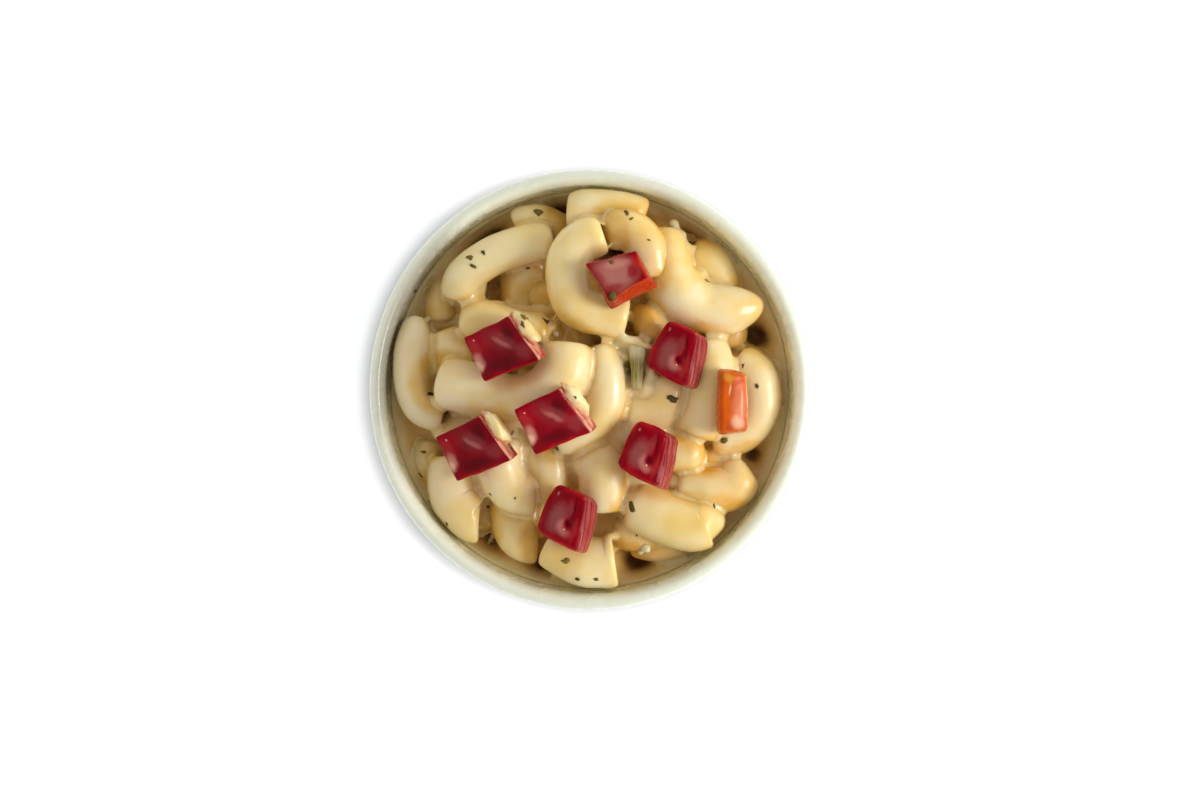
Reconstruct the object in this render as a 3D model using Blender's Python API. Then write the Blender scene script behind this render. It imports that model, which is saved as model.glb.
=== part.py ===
"""A small white bowl heaped with elbow macaroni salad, diced red pepper and a bit of celery.

Lengths are in millimetres here and become metres where a mesh is made. The bowl stands on z = 0
with its axis on the origin, and +Y is up as seen from above.
"""

import math

import bmesh
import bpy
import numpy as np
from mathutils import Vector
from mathutils.bvhtree import BVHTree

MM = 0.001
CLEARANCE = 0.3

# The bowl is turned: two walls of one slope that curve in to a floor and to a foot ring.
RIM_HEIGHT = 44.0
RIM_RADIUS = 40.0
LIP_WIDTH = 2.5
LIP_ROUND = 1.0
LIP_INNER_ROUND = 3.5
WALL_SLOPE = 0.105
INNER_FLOOR = 5.0
INNER_CURVE_TOP = 19.0
INNER_INSET = 12.0
OUTER_CURVE_TOP = 17.0
OUTER_INSET = 12.5
FOOT_HEIGHT = 2.0
FOOT_RING_WIDTH = 2.6
FOOT_RECESS = 1.4
BOWL_SIDES = 60

# The heap is a low core under the macaroni that shows. Each row is a height and a radius.
CORE_SIDES = 36
CORE_TOP = ((33.4, 35.2), (35.2, 31.0), (36.6, 25.0), (38.2, 16.0), (39.4, 8.0))
CORE_PEAK = 39.8

# Each elbow is a closed tube. A row holds its radius, its two ends and the points that its middle
# line runs through. An end is its width, as a part of the radius, and the slant of its cut, which
# makes the tube's left side longer where it is above 0.
TUBE_SIDES = 10
TUBE_STEPS = 8
END_TAPER = 0.3
SQUARE = (1.0, 0.0)
ELBOWS = (
    (
        3.8,
        (1.0, -0.4),
        (0.8, 0.4),
        ((-3.8, 31.6, 40.5), (0.0, 33.0, 41.2), (5.0, 33.2, 41.2), (10.3, 32.6, 40.5)),
    ),
    (3.9, SQUARE, SQUARE, ((3.4, 29.2, 43.0), (7.4, 28.8, 44.0), (10.3, 25.6, 44.0), (10.6, 20.5, 43.5))),
    (
        4.0,
        (0.9, 0.1),
        (0.95, 0.0),
        ((2.6, 27.8, 46.5), (-1.8, 26.5, 46.5), (-4.0, 21.3, 46.5), (-1.9, 14.9, 46.0), (6.8, 12.9, 45.5)),
    ),
    (
        4.9,
        (0.8, 0.0),
        (0.3, 0.2),
        (
            (13.2, 29.0, 40.0),
            (13.6, 22.5, 41.5),
            (16.6, 17.2, 42.0),
            (22.0, 14.6, 41.0),
            (31.8, 15.0, 41.0),
        ),
    ),
    (4.3, SQUARE, SQUARE, ((18.8, 23.8, 36.0), (21.7, 22.9, 36.5), (23.2, 19.8, 36.5), (23.2, 17.0, 36.0))),
    (3.3, SQUARE, SQUARE, ((25.7, 13.0, 35.5), (25.8, 10.6, 35.5), (25.2, 8.0, 35.0))),
    (
        4.1,
        SQUARE,
        SQUARE,
        ((27.0, 4.9, 37.5), (30.4, 2.2, 38.5), (31.0, -2.4, 38.5), (28.4, -7.2, 38.0), (22.2, -8.8, 38.0)),
    ),
    (
        4.3,
        (0.9, 0.0),
        SQUARE,
        ((20.8, 8.8, 41.0), (22.2, 3.5, 41.5), (21.4, -2.5, 41.5), (19.4, -8.2, 40.5)),
    ),
    (3.0, (0.85, -0.5), SQUARE, ((10.6, 14.8, 41.0), (10.8, 12.0, 42.0), (11.8, 9.4, 41.0))),
    (4.6, SQUARE, SQUARE, ((14.0, 2.0, 39.5), (13.6, -1.8, 40.0), (11.4, -4.0, 40.0), (7.0, -5.0, 39.5))),
    (
        4.95,
        (0.95, 0.0),
        (0.9, 0.0),
        (
            (-27.2, 1.2, 42.0),
            (-21.0, 0.0, 43.5),
            (-14.5, -2.1, 45.0),
            (-8.4, -1.0, 46.0),
            (-4.6, 3.4, 46.0),
            (-3.9, 8.3, 45.5),
        ),
    ),
    (3.9, (1.0, 0.3), SQUARE, ((-25.6, 11.0, 38.0), (-25.4, 6.5, 38.5), (-24.5, 2.0, 38.0))),
    (
        3.6,
        SQUARE,
        (0.9, 0.0),
        (
            (-24.0, 16.6, 40.0),
            (-22.8, 20.6, 41.0),
            (-18.0, 24.2, 41.5),
            (-12.5, 26.4, 41.5),
            (-6.8, 27.4, 41.0),
        ),
    ),
    (
        3.9,
        (0.95, 0.0),
        SQUARE,
        ((-23.2, 13.0, 40.0), (-18.5, 12.4, 41.0), (-13.0, 10.6, 41.5), (-7.8, 10.4, 41.0)),
    ),
    (4.0, SQUARE, SQUARE, ((-12.2, 23.0, 35.5), (-12.4, 18.5, 36.5), (-12.4, 13.8, 36.0))),
    (3.4, SQUARE, SQUARE, ((-13.6, 30.2, 37.0), (-9.2, 30.6, 37.5), (-4.6, 28.6, 37.0))),
    (
        3.4,
        (0.5, 0.0),
        (1.28, 0.0),
        (
            (-31.6, 13.4, 39.0),
            (-32.5, 8.0, 40.2),
            (-32.4, 1.5, 40.8),
            (-30.8, -2.8, 40.4),
            (-27.3, -3.8, 39.4),
        ),
    ),
    (3.4, SQUARE, SQUARE, ((-25.5, 19.5, 36.0), (-27.0, 16.0, 36.0), (-27.0, 12.5, 36.0))),
    (3.3, SQUARE, SQUARE, ((-29.0, -9.3, 34.5), (-29.3, -13.0, 34.5), (-27.4, -16.6, 34.5))),
    (
        4.4,
        SQUARE,
        (0.92, -0.45),
        ((-25.0, -12.5, 37.5), (-25.3, -17.5, 38.0), (-23.8, -22.2, 38.5), (-20.2, -24.3, 38.5)),
    ),
    (
        3.9,
        SQUARE,
        (1.0, -0.35),
        ((-14.9, -20.5, 37.0), (-14.2, -24.6, 38.0), (-12.6, -27.4, 38.0), (-9.8, -28.5, 37.5)),
    ),
    (
        4.1,
        SQUARE,
        (1.0, -0.3),
        ((-15.8, -8.6, 40.5), (-16.6, -14.0, 41.5), (-14.2, -18.4, 41.0), (-10.4, -19.5, 40.0)),
    ),
    (3.7, SQUARE, SQUARE, ((-8.6, -9.4, 39.5), (-7.4, -14.5, 40.0), (-7.3, -20.5, 39.0))),
    (4.4, SQUARE, (0.95, 0.0), ((0.4, -11.4, 41.0), (2.2, -15.4, 42.0), (2.3, -22.0, 41.0))),
    (
        3.7,
        (0.9, 0.0),
        SQUARE,
        ((1.1, 7.8, 43.5), (2.9, 2.6, 44.0), (2.4, -3.2, 44.0), (-1.2, -7.2, 43.5), (-6.0, -8.8, 43.0)),
    ),
    (4.8, SQUARE, (1.12, 0.0), ((-7.4, -27.8, 39.6), (-1.6, -31.0, 40.6), (4.7, -31.6, 40.6))),
    (3.6, SQUARE, SQUARE, ((4.6, -25.2, 37.5), (8.4, -26.2, 38.0), (12.5, -25.8, 37.0))),
    (
        4.9,
        (0.9, 0.0),
        (0.35, 0.0),
        ((7.2, -20.8, 40.5), (12.0, -22.6, 41.0), (18.0, -24.6, 41.0), (25.4, -25.4, 40.0)),
    ),
    (3.3, SQUARE, SQUARE, ((8.0, -27.6, 35.5), (12.5, -28.4, 36.0), (17.2, -27.4, 35.5))),
    (
        4.5,
        SQUARE,
        (0.6, 0.35),
        ((16.2, -17.6, 38.5), (21.5, -18.4, 39.0), (26.0, -17.6, 38.5), (28.4, -13.6, 38.0)),
    ),
    (3.4, SQUARE, (0.55, 0.0), ((10.5, -12.0, 41.5), (15.0, -11.6, 41.5), (21.0, -11.4, 41.0))),
    (3.6, SQUARE, SQUARE, ((-27.5, -9.5, 37.0), (-24.0, -6.5, 37.5), (-19.5, -5.5, 37.5))),
    (3.5, SQUARE, SQUARE, ((17.5, -14.5, 36.0), (21.0, -13.0, 36.5), (25.0, -13.0, 36.0))),
    (3.4, SQUARE, SQUARE, ((-5.0, -28.0, 35.4), (0.0, -29.8, 35.8), (4.5, -29.8, 35.4))),
)
SHRED = (1.1, SQUARE, (0.4, 0.0), ((5.0, -28.4, 39.0), (6.4, -30.8, 38.4), (8.1, -33.0, 37.6)))

# The larger herb flakes: where each lies, and how wide it is.
FLAKE_SIDES = 5
FLAKE_THICKNESS = 0.7
FLAKES = (
    (-19.3, 24.8, 1.2),
    (-21.5, 23.4, 1.8),
    (-12.0, 12.3, 1.9),
    (-8.0, 12.6, 2.0),
    (-29.3, -1.0, 1.3),
    (-18.2, -19.1, 0.9),
    (-13.4, -19.5, 0.8),
    (-18.3, -21.3, 1.2),
    (-30.3, -11.6, 1.3),
    (-2.2, -34.3, 1.1),
    (1.2, -34.3, 1.2),
    (7.0, 31.9, 1.4),
    (7.4, 30.8, 1.0),
    (21.3, 19.7, 1.1),
    (27.8, 4.2, 0.9),
    (30.3, 0.7, 1.0),
    (24.5, -9.0, 1.6),
    (14.9, -1.7, 2.3),
    (7.6, -21.3, 2.0),
    (22.5, -21.1, 1.0),
    (8.6, -26.3, 0.9),
)

# Pepper is cut in chunks with slanting sides. Each shape holds the corners of its top face and
# of its foot, and each chunk names its shape and its place.
PEPPER_THICKNESS = 4.6
PEPPER_ROUND = 0.45
SLANTED = (
    ((-6.5, 2.2), (1.6, 6.0), (7.3, -1.9), (-2.7, -5.9)),
    ((-6.2, 2.0), (2.6, 6.8), (8.6, -0.9), (-2.4, -5.6)),
)
CURVED = (
    ((-2.4, 6.1), (3.0, 3.6), (1.3, -5.9), (-6.2, -2.0)),
    ((-2.2, 5.9), (5.2, 2.6), (3.1, -6.7), (-6.0, -1.9)),
)
WEDGE = (
    ((-6.6, 2.5), (2.6, 5.0), (5.0, 0.0), (-2.0, -4.2)),
    ((-6.4, 2.4), (2.8, 5.0), (6.8, -1.4), (-2.0, -5.6)),
)
STRIP = (
    ((-2.4, 5.5), (2.0, 4.6), (2.5, -5.1), (-2.6, -5.8)),
    ((-3.0, 6.2), (2.5, 5.2), (2.8, -5.8), (-3.1, -6.1)),
)
PEPPERS = (
    ("pepper_1", WEDGE, 5.8, 19.8),
    ("pepper_2", SLANTED, -16.1, 7.1),
    ("pepper_3", CURVED, 16.5, 6.3),
    ("pepper_4", SLANTED, -6.9, -5.8),
    ("pepper_5", SLANTED, -21.2, -10.8),
    ("pepper_6", CURVED, 11.2, -11.7),
    ("pepper_7", CURVED, -3.4, -23.2),
    ("pepper_8", STRIP, 26.0, -2.1),
)
CELERY = (
    ((-1.3, 4.6), (1.9, 3.3), (1.0, -4.2), (-0.6, -4.3)),
    ((-1.4, 4.7), (2.0, 3.3), (1.1, -4.3), (-0.7, -4.4)),
)
CELERY_PLACE = (8.3, 4.1)
CELERY_THICKNESS = 4.4
CELERY_ROUND = 0.6
STEEPEST_REST = 0.35
LIFT_STEP = 0.1


def clear_scene():
    """Remove the objects that the file opened with."""
    for item in list(bpy.data.objects):
        bpy.data.objects.remove(item)


def new_material(name, color, roughness, coat=0.0):
    """Make a plain Principled material."""
    material = bpy.data.materials.new(name)
    material.use_nodes = True
    shader = material.node_tree.nodes["Principled BSDF"]
    shader.inputs["Base Color"].default_value = (*color, 1.0)
    shader.inputs["Roughness"].default_value = roughness
    shader.inputs["Metallic"].default_value = 0.0
    shader.inputs["Coat Weight"].default_value = coat
    material.diffuse_color = (*color, 1.0)
    return material


def new_object(name, points, faces, material, origin=(0.0, 0.0, 0.0), smooth=True):
    """Make an object at its origin from points in millimetres."""
    mesh = bpy.data.meshes.new(name)
    local = [tuple((p[i] - origin[i]) * MM for i in range(3)) for p in points]
    mesh.from_pydata(local, [], [tuple(face) for face in faces])
    mesh.polygons.foreach_set("use_smooth", [smooth] * len(mesh.polygons))
    mesh.materials.append(material)
    mesh.update()
    item = bpy.data.objects.new(name, mesh)
    item.location = Vector(origin) * MM
    bpy.context.scene.collection.objects.link(item)
    return item


def wall_radius(z, top_radius, floor, curve_top, inset):
    """Radius of a wall that leans out and curves in towards its floor."""
    radius = top_radius - WALL_SLOPE * (RIM_HEIGHT - z)
    if z >= curve_top:
        return radius
    depth = min(1.0, (curve_top - z) / (curve_top - floor))
    return radius - inset * (1.0 - math.sqrt(1.0 - depth * depth))


def inner_radius(z):
    """Radius of the bowl's inner face at a height."""
    return wall_radius(z, RIM_RADIUS - LIP_WIDTH, INNER_FLOOR, INNER_CURVE_TOP, INNER_INSET)


def outer_radius(z):
    """Radius of the bowl's outer face at a height."""
    return wall_radius(z, RIM_RADIUS, FOOT_HEIGHT, OUTER_CURVE_TOP, OUTER_INSET)


def turned(profile, sides):
    """Turn a profile of radius and height, whose ends lie on the axis, into a closed mesh."""
    rings = profile[1:-1]
    points = [(0.0, 0.0, profile[0][1])]
    for radius, z in rings:
        for step in range(sides):
            angle = 2.0 * math.pi * step / sides
            points.append((radius * math.cos(angle), radius * math.sin(angle), z))
    points.append((0.0, 0.0, profile[-1][1]))
    last = len(points) - 1
    faces = []
    for step in range(sides):
        after = (step + 1) % sides
        faces.append((0, 1 + after, 1 + step))
        for ring in range(len(rings) - 1):
            low = 1 + ring * sides
            faces.append((low + step, low + after, low + sides + after, low + sides + step))
        top = 1 + (len(rings) - 1) * sides
        faces.append((last, top + step, top + after))
    return points, faces


def bowl_profile():
    """The bowl's section, from under the middle of its foot round the lip to its floor."""
    foot_radius = outer_radius(FOOT_HEIGHT)
    hollow = foot_radius - FOOT_RING_WIDTH
    profile = [(0.0, FOOT_RECESS), (hollow - 1.0, FOOT_RECESS), (hollow, 0.0), (foot_radius - 0.3, 0.0)]
    profile.append((foot_radius, 0.4))
    for share in (0.0, 0.03, 0.1, 0.22, 0.4, 0.62, 1.0):
        z = FOOT_HEIGHT + share * (OUTER_CURVE_TOP - FOOT_HEIGHT)
        profile.append((outer_radius(z), z))
    profile.append((outer_radius(30.0), 30.0))
    middle = RIM_RADIUS - 0.5 * LIP_WIDTH
    inner_width = middle - inner_radius(RIM_HEIGHT - LIP_INNER_ROUND)
    outer_steps = range(5)
    inner_steps = range(5, 9)
    halves = ((0.5 * LIP_WIDTH, LIP_ROUND, outer_steps), (inner_width, LIP_INNER_ROUND, inner_steps))
    for width, depth, steps in halves:
        for step in steps:
            angle = math.pi * step / 8
            z = RIM_HEIGHT - depth + depth * math.sin(angle)
            profile.append((middle + width * math.cos(angle), z))
    profile.append((inner_radius(31.0), 31.0))
    for share in (1.0, 0.62, 0.4, 0.22, 0.1, 0.03, 0.0):
        z = INNER_FLOOR + share * (INNER_CURVE_TOP - INNER_FLOOR)
        profile.append((inner_radius(z), z))
    profile.append((0.0, INNER_FLOOR))
    return profile


def core_profile():
    """The heap's core, from its underside up the bowl's wall and over its low dome."""
    low = INNER_FLOOR + CLEARANCE
    profile = [(0.0, low), (inner_radius(low) - 1.5, low)]
    for z in (7.0, 10.0, 14.0, 19.0, 28.0):
        profile.append((inner_radius(z) - 1.5 * CLEARANCE, z))
    profile += [(radius, z) for z, radius in CORE_TOP]
    profile.append((0.0, CORE_PEAK))
    return profile


def smooth_line(points, steps):
    """Evenly spaced places on a smooth line through the points."""
    knots = np.array(points, float)
    knots = np.vstack([2 * knots[0] - knots[1], knots, 2 * knots[-1] - knots[-2]])
    fine = []
    for i in range(1, len(knots) - 2):
        a, b, c, d = knots[i - 1 : i + 3]
        for t in np.linspace(0.0, 1.0, 16, endpoint=False):
            bend = (2 * a - 5 * b + 4 * c - d) * t**2 + (3 * b - a - 3 * c + d) * t**3
            fine.append(0.5 * (2 * b + (c - a) * t + bend))
    fine.append(knots[-2])
    fine = np.array(fine)
    along = np.concatenate([[0.0], np.cumsum(np.linalg.norm(np.diff(fine, axis=0), axis=1))])
    wanted = np.linspace(0.0, along[-1], steps + 1)
    return np.stack([np.interp(wanted, along, fine[:, k]) for k in range(3)], axis=1)


def kept_inside(place, radius):
    """The place, drawn towards the axis until a tube of this radius clears the bowl's wall."""
    limit = inner_radius(min(place[2], RIM_HEIGHT) - 0.4 * radius) - radius - 1.3 * CLEARANCE
    reach = math.hypot(place[0], place[1])
    if place[2] > RIM_HEIGHT or reach <= limit:
        return place
    return np.array([place[0] * limit / reach, place[1] * limit / reach, place[2]])


def tube(radius, start_end, stop_end, points):
    """A closed tube round a smooth line, narrower or cut at a slant at its ends where they say so."""
    shares = np.linspace(0.0, 1.0, TUBE_STEPS + 1)
    start = np.maximum(0.0, 1.0 - shares / END_TAPER) ** 2
    stop = np.maximum(0.0, 1.0 - (1.0 - shares) / END_TAPER) ** 2
    widths = radius * (1.0 - start * (1.0 - start_end[0]) - stop * (1.0 - stop_end[0]))
    slants = stop * stop_end[1] - start * start_end[1]
    places = smooth_line(points, TUBE_STEPS)
    line = [kept_inside(place, width) for place, width in zip(places, widths)]
    side = np.array([0.0, 0.0, 1.0])
    mesh_points = []
    for i, place in enumerate(line):
        forward = line[min(i + 1, TUBE_STEPS)] - line[max(i - 1, 0)]
        forward = forward / np.linalg.norm(forward)
        left = np.array([-forward[1], forward[0], 0.0])
        side = side - forward * side.dot(forward)
        side = side / np.linalg.norm(side)
        other = np.cross(forward, side)
        for k in range(TUBE_SIDES):
            angle = 2.0 * math.pi * k / TUBE_SIDES
            offset = widths[i] * (math.cos(angle) * side + math.sin(angle) * other)
            mesh_points.append(place + offset + forward * slants[i] * offset.dot(left))
    faces = [tuple(range(TUBE_SIDES - 1, -1, -1))]
    for i in range(TUBE_STEPS):
        for k in range(TUBE_SIDES):
            a = i * TUBE_SIDES + k
            b = i * TUBE_SIDES + (k + 1) % TUBE_SIDES
            faces.append((a, b, b + TUBE_SIDES, a + TUBE_SIDES))
    first = TUBE_STEPS * TUBE_SIDES
    faces.append(tuple(range(first, first + TUBE_SIDES)))
    return mesh_points, faces


def flake(place, normal, width):
    """A small flat leaf flake, half sunk in the face under it."""
    normal = Vector(normal)
    along = normal.orthogonal().normalized()
    across = normal.cross(along)
    points = [place - normal * FLAKE_THICKNESS]
    for height, share in ((-0.3, 1.0), (0.25, 0.9)):
        for k in range(FLAKE_SIDES):
            angle = 2.0 * math.pi * k / FLAKE_SIDES + place.x
            spread = 0.5 * width * share
            offset = along * math.cos(angle) * spread + across * math.sin(angle) * spread * 0.7
            points.append(place + offset + normal * height)
    points.append(place + normal * 0.4)
    last = len(points) - 1
    faces = []
    for k in range(FLAKE_SIDES):
        after = (k + 1) % FLAKE_SIDES
        low, high = 1, 1 + FLAKE_SIDES
        faces.append((0, low + after, low + k))
        faces.append((low + k, low + after, high + after, high + k))
        faces.append((last, high + k, high + after))
    return points, faces


def faces_tree(meshes):
    """One search tree over several meshes, in millimetres."""
    points = []
    faces = []
    for mesh_points, mesh_faces in meshes:
        first = len(points)
        points += [Vector(p) for p in mesh_points]
        faces += [tuple(first + i for i in face) for face in mesh_faces]
    return BVHTree.FromPolygons(points, faces)


def applied(item):
    """Put the object's modifiers into its mesh."""
    graph = bpy.context.evaluated_depsgraph_get()
    mesh = bpy.data.meshes.new_from_object(item.evaluated_get(graph))
    item.modifiers.clear()
    old = item.data
    item.data = mesh
    bpy.data.meshes.remove(old)


def keep_largest_body(item):
    """Drop loose scraps and the walls of sealed hollows."""
    mesh = bmesh.new()
    mesh.from_mesh(item.data)
    bmesh.ops.triangulate(mesh, faces=mesh.faces)
    bmesh.ops.remove_doubles(mesh, verts=mesh.verts, dist=1e-7)
    mesh.faces.ensure_lookup_table()
    bodies = []
    seen = set()
    for face in mesh.faces:
        if face in seen:
            continue
        body = []
        stack = [face]
        seen.add(face)
        while stack:
            here = stack.pop()
            body.append(here)
            for edge in here.edges:
                for near in edge.link_faces:
                    if near not in seen:
                        seen.add(near)
                        stack.append(near)
        bodies.append(body)
    bodies.sort(key=len, reverse=True)
    for body in bodies[1:]:
        bmesh.ops.delete(mesh, geom=body, context="FACES")
    loose = [vert for vert in mesh.verts if not vert.link_faces]
    bmesh.ops.delete(mesh, geom=loose, context="VERTS")
    mesh.to_mesh(item.data)
    mesh.free()
    item.data.polygons.foreach_set("use_smooth", [True] * len(item.data.polygons))
    print(item.name, "kept one of", len(bodies), "bodies,", len(item.data.polygons), "triangles")


def build_heap(material):
    """The heap: the core, the macaroni, a pale shred and the larger flakes, joined in one solid."""
    core_mesh = turned(core_profile(), CORE_SIDES)
    core = new_object("macaroni_heap", *core_mesh, material)
    tubes = [tube(*row) for row in ELBOWS + (SHRED,)]
    tree = faces_tree([core_mesh] + tubes)
    pieces = list(tubes)
    for x, y, width in FLAKES:
        place, normal, _, _ = tree.ray_cast(Vector((x, y, 90.0)), Vector((0.0, 0.0, -1.0)))
        pieces.append(flake(place, normal, width))
    collection = bpy.data.collections.new("heap_pieces")
    bpy.context.scene.collection.children.link(collection)
    for number, (points, faces) in enumerate(pieces):
        piece = new_object(f"piece_{number}", points, faces, material)
        bpy.context.scene.collection.objects.unlink(piece)
        collection.objects.link(piece)
    union = core.modifiers.new("join", "BOOLEAN")
    union.operation = "UNION"
    union.operand_type = "COLLECTION"
    union.collection = collection
    union.solver = "EXACT"
    applied(core)
    for piece in list(collection.objects):
        bpy.data.objects.remove(piece)
    bpy.data.collections.remove(collection)
    keep_largest_body(core)
    return core


def object_tree(item):
    """A search tree over an object's mesh, in millimetres."""
    points = [item.matrix_world @ vert.co / MM for vert in item.data.vertices]
    return BVHTree.FromPolygons(points, [tuple(face.vertices) for face in item.data.polygons])


def inside(corners, x, y):
    """Whether a place lies in a convex outline whose corners run clockwise."""
    for (ax, ay), (bx, by) in zip(corners, corners[1:] + corners[:1]):
        if (bx - ax) * (y - ay) - (by - ay) * (x - ax) > 0.0:
            return False
    return True


def resting_plane(tree, shape, x, y):
    """Height and two slopes of the lowest plane on which the piece rests over the tree."""
    reach = 10.0
    spacing = 0.5
    spots = []
    for dx in np.arange(-reach, reach, spacing):
        for dy in np.arange(-reach, reach, spacing):
            if any(inside([(1.1 * a, 1.1 * b) for a, b in outline], dx, dy) for outline in shape):
                hit = tree.ray_cast(Vector((x + dx, y + dy, 90.0)), Vector((0.0, 0.0, -1.0)))[0]
                spots.append((dx, dy, hit.z))
    spots = np.array(spots)
    best = (0.0, 0.0)
    step = STEEPEST_REST / 4
    for _ in range(5):
        trials = []
        for a in np.clip(best[0] + step * np.arange(-4, 5), -STEEPEST_REST, STEEPEST_REST):
            for b in np.clip(best[1] + step * np.arange(-4, 5), -STEEPEST_REST, STEEPEST_REST):
                height = (spots[:, 2] - a * spots[:, 0] - b * spots[:, 1]).max()
                trials.append((height, a, b))
        height, a, b = min(trials)
        best = (a, b)
        step /= 3
    return height + CLEARANCE * math.sqrt(1.0 + a * a + b * b), a, b


def touches(data, place, tree):
    """Whether a mesh put at a place crosses the tree's solid or comes too near to it."""
    points = [vert.co / MM + place for vert in data.vertices]
    faces = [tuple(face.vertices) for face in data.polygons]
    if BVHTree.FromPolygons(points, faces).overlap(tree):
        return True
    middles = [face.center / MM + place for face in data.polygons]
    return min(tree.find_nearest(point)[3] for point in points + middles) < 0.8 * CLEARANCE


def build_chunk(name, shape, x, y, thickness, rounding, tree, material):
    """A cut chunk with slanting sides, its top straight over its foot, that rests on the tree's food."""
    height, a, b = resting_plane(tree, shape, x, y)
    top, foot = shape
    mesh = bmesh.new()
    rings = []
    for corners, lift in ((foot, 0.0), (top, thickness)):
        ring = []
        for cx, cy in corners:
            place = Vector((cx, cy, a * cx + b * cy + lift))
            ring.append(mesh.verts.new(place * MM))
        rings.append(ring)
    low, high = rings
    mesh.faces.new(low)
    mesh.faces.new(reversed(high))
    for k in range(4):
        after = (k + 1) % 4
        mesh.faces.new((low[after], low[k], high[k], high[after]))
    bmesh.ops.recalc_face_normals(mesh, faces=mesh.faces)
    bmesh.ops.bevel(
        mesh,
        geom=list(mesh.edges),
        offset=rounding * MM,
        segments=2,
        profile=0.5,
        affect="EDGES",
    )
    data = bpy.data.meshes.new(name)
    mesh.to_mesh(data)
    mesh.free()
    data.polygons.foreach_set("use_smooth", [True] * len(data.polygons))
    data.materials.append(material)
    item = bpy.data.objects.new(name, data)
    place = Vector((x, y, height))
    while touches(data, place, tree):
        place.z += LIFT_STEP
    item.location = place * MM
    bpy.context.scene.collection.objects.link(item)
    print(name, "rests at", round(place.z, 1), "mm, slopes", round(a, 2), round(b, 2))
    return item


def build():
    """Make the whole dish under one empty."""
    clear_scene()
    glaze = new_material("white_glaze", (0.80, 0.81, 0.76), 0.25, 0.4)
    pasta = new_material("cooked_macaroni", (0.80, 0.62, 0.33), 0.35, 0.3)
    red = new_material("red_pepper", (0.36, 0.01, 0.015), 0.25, 0.5)
    orange = new_material("orange_pepper", (0.85, 0.22, 0.08), 0.3, 0.5)
    green = new_material("celery", (0.50, 0.52, 0.24), 0.3, 0.4)
    bowl = new_object("bowl", *turned(bowl_profile(), BOWL_SIDES), glaze)
    heap = build_heap(pasta)
    bpy.context.view_layer.update()
    tree = object_tree(heap)
    parts = [bowl, heap]
    for name, shape, x, y in PEPPERS:
        material = orange if shape is STRIP else red
        parts.append(build_chunk(name, shape, x, y, PEPPER_THICKNESS, PEPPER_ROUND, tree, material))
    x, y = CELERY_PLACE
    parts.append(build_chunk("celery_bit", CELERY, x, y, CELERY_THICKNESS, CELERY_ROUND, tree, green))
    root = bpy.data.objects.new("pasta_salad", None)
    bpy.context.scene.collection.objects.link(root)
    for part in parts:
        part.parent = root


build()
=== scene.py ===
# %% [markdown]
# # A small bowl of macaroni salad
#
# This file dresses the plain solids of a bowl of elbow macaroni salad, seen from straight above.
# Each step says what the real thing is, how it could be made in Blender, and why it is made this
# way. Lengths in the tables are millimetres and become metres where a mesh is made.

# %% Load the plain solids
import math
import random

import bmesh
import bpy
import numpy as np
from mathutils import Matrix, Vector, noise
from mathutils.bvhtree import BVHTree


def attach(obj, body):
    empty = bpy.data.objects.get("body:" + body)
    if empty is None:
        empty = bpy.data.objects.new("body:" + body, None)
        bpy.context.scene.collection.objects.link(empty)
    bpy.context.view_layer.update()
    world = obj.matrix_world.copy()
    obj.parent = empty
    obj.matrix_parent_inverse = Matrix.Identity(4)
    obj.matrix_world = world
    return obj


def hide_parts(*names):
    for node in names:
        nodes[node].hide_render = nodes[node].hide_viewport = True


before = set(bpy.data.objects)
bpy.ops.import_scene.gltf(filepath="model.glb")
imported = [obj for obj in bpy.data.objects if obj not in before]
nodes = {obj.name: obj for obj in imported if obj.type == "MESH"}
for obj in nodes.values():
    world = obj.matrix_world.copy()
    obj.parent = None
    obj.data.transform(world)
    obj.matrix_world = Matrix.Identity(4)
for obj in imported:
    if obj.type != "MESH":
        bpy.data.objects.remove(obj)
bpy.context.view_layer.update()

MM = 0.001
print("solids:", sorted(nodes))

# %% [markdown]
# ## The camera
#
# The photograph looks straight down on the bowl from about half a metre, so the lip is a true
# circle and the wall's inside shows as a thin ring. A camera with no turn already looks down, with
# +Y up in the picture. The lens follows from how wide the picture is at the level of the rim.

# %% Camera straight above the bowl
RIM_HEIGHT = 44.0
CAMERA_OVER_RIM = 480.0
VIEW_WIDTH = 217.7
SENSOR_WIDTH = 36.0
CAMERA_ASIDE = (1.9, -1.9)

camera_data = bpy.data.cameras.new("camera_above")
camera_data.sensor_width = SENSOR_WIDTH
camera_data.lens = SENSOR_WIDTH * CAMERA_OVER_RIM / VIEW_WIDTH
camera = bpy.data.objects.new("camera_above", camera_data)
camera.location = Vector((*CAMERA_ASIDE, RIM_HEIGHT + CAMERA_OVER_RIM)) * MM
bpy.context.scene.collection.objects.link(camera)
bpy.context.scene.camera = camera
print("lens", round(camera_data.lens, 1), "mm")

# %% [markdown]
# ## Small helpers for node materials
#
# A material is a little network of nodes. Making each node with one call, and giving its inputs
# either a number or another node's output, keeps the recipes below short enough to read.


# %% Helpers that make nodes
def from_srgb(red, green, blue):
    """A colour of 0 to 255 as it is picked on a screen, as the linear colour that Blender uses."""
    channels = []
    for value in (red, green, blue):
        share = value / 255.0
        channels.append(share / 12.92 if share <= 0.04045 else ((share + 0.055) / 1.055) ** 2.4)
    return (*channels, 1.0)


def add_node(tree, kind, inputs=None, **settings):
    """A new node, with its settings, and its inputs set to a value or joined to an output."""
    node = tree.nodes.new(kind)
    for name, value in settings.items():
        setattr(node, name, value)
    for name, value in (inputs or {}).items():
        if isinstance(value, bpy.types.NodeSocket):
            tree.links.new(value, node.inputs[name])
        else:
            node.inputs[name].default_value = value
    return node


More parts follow.
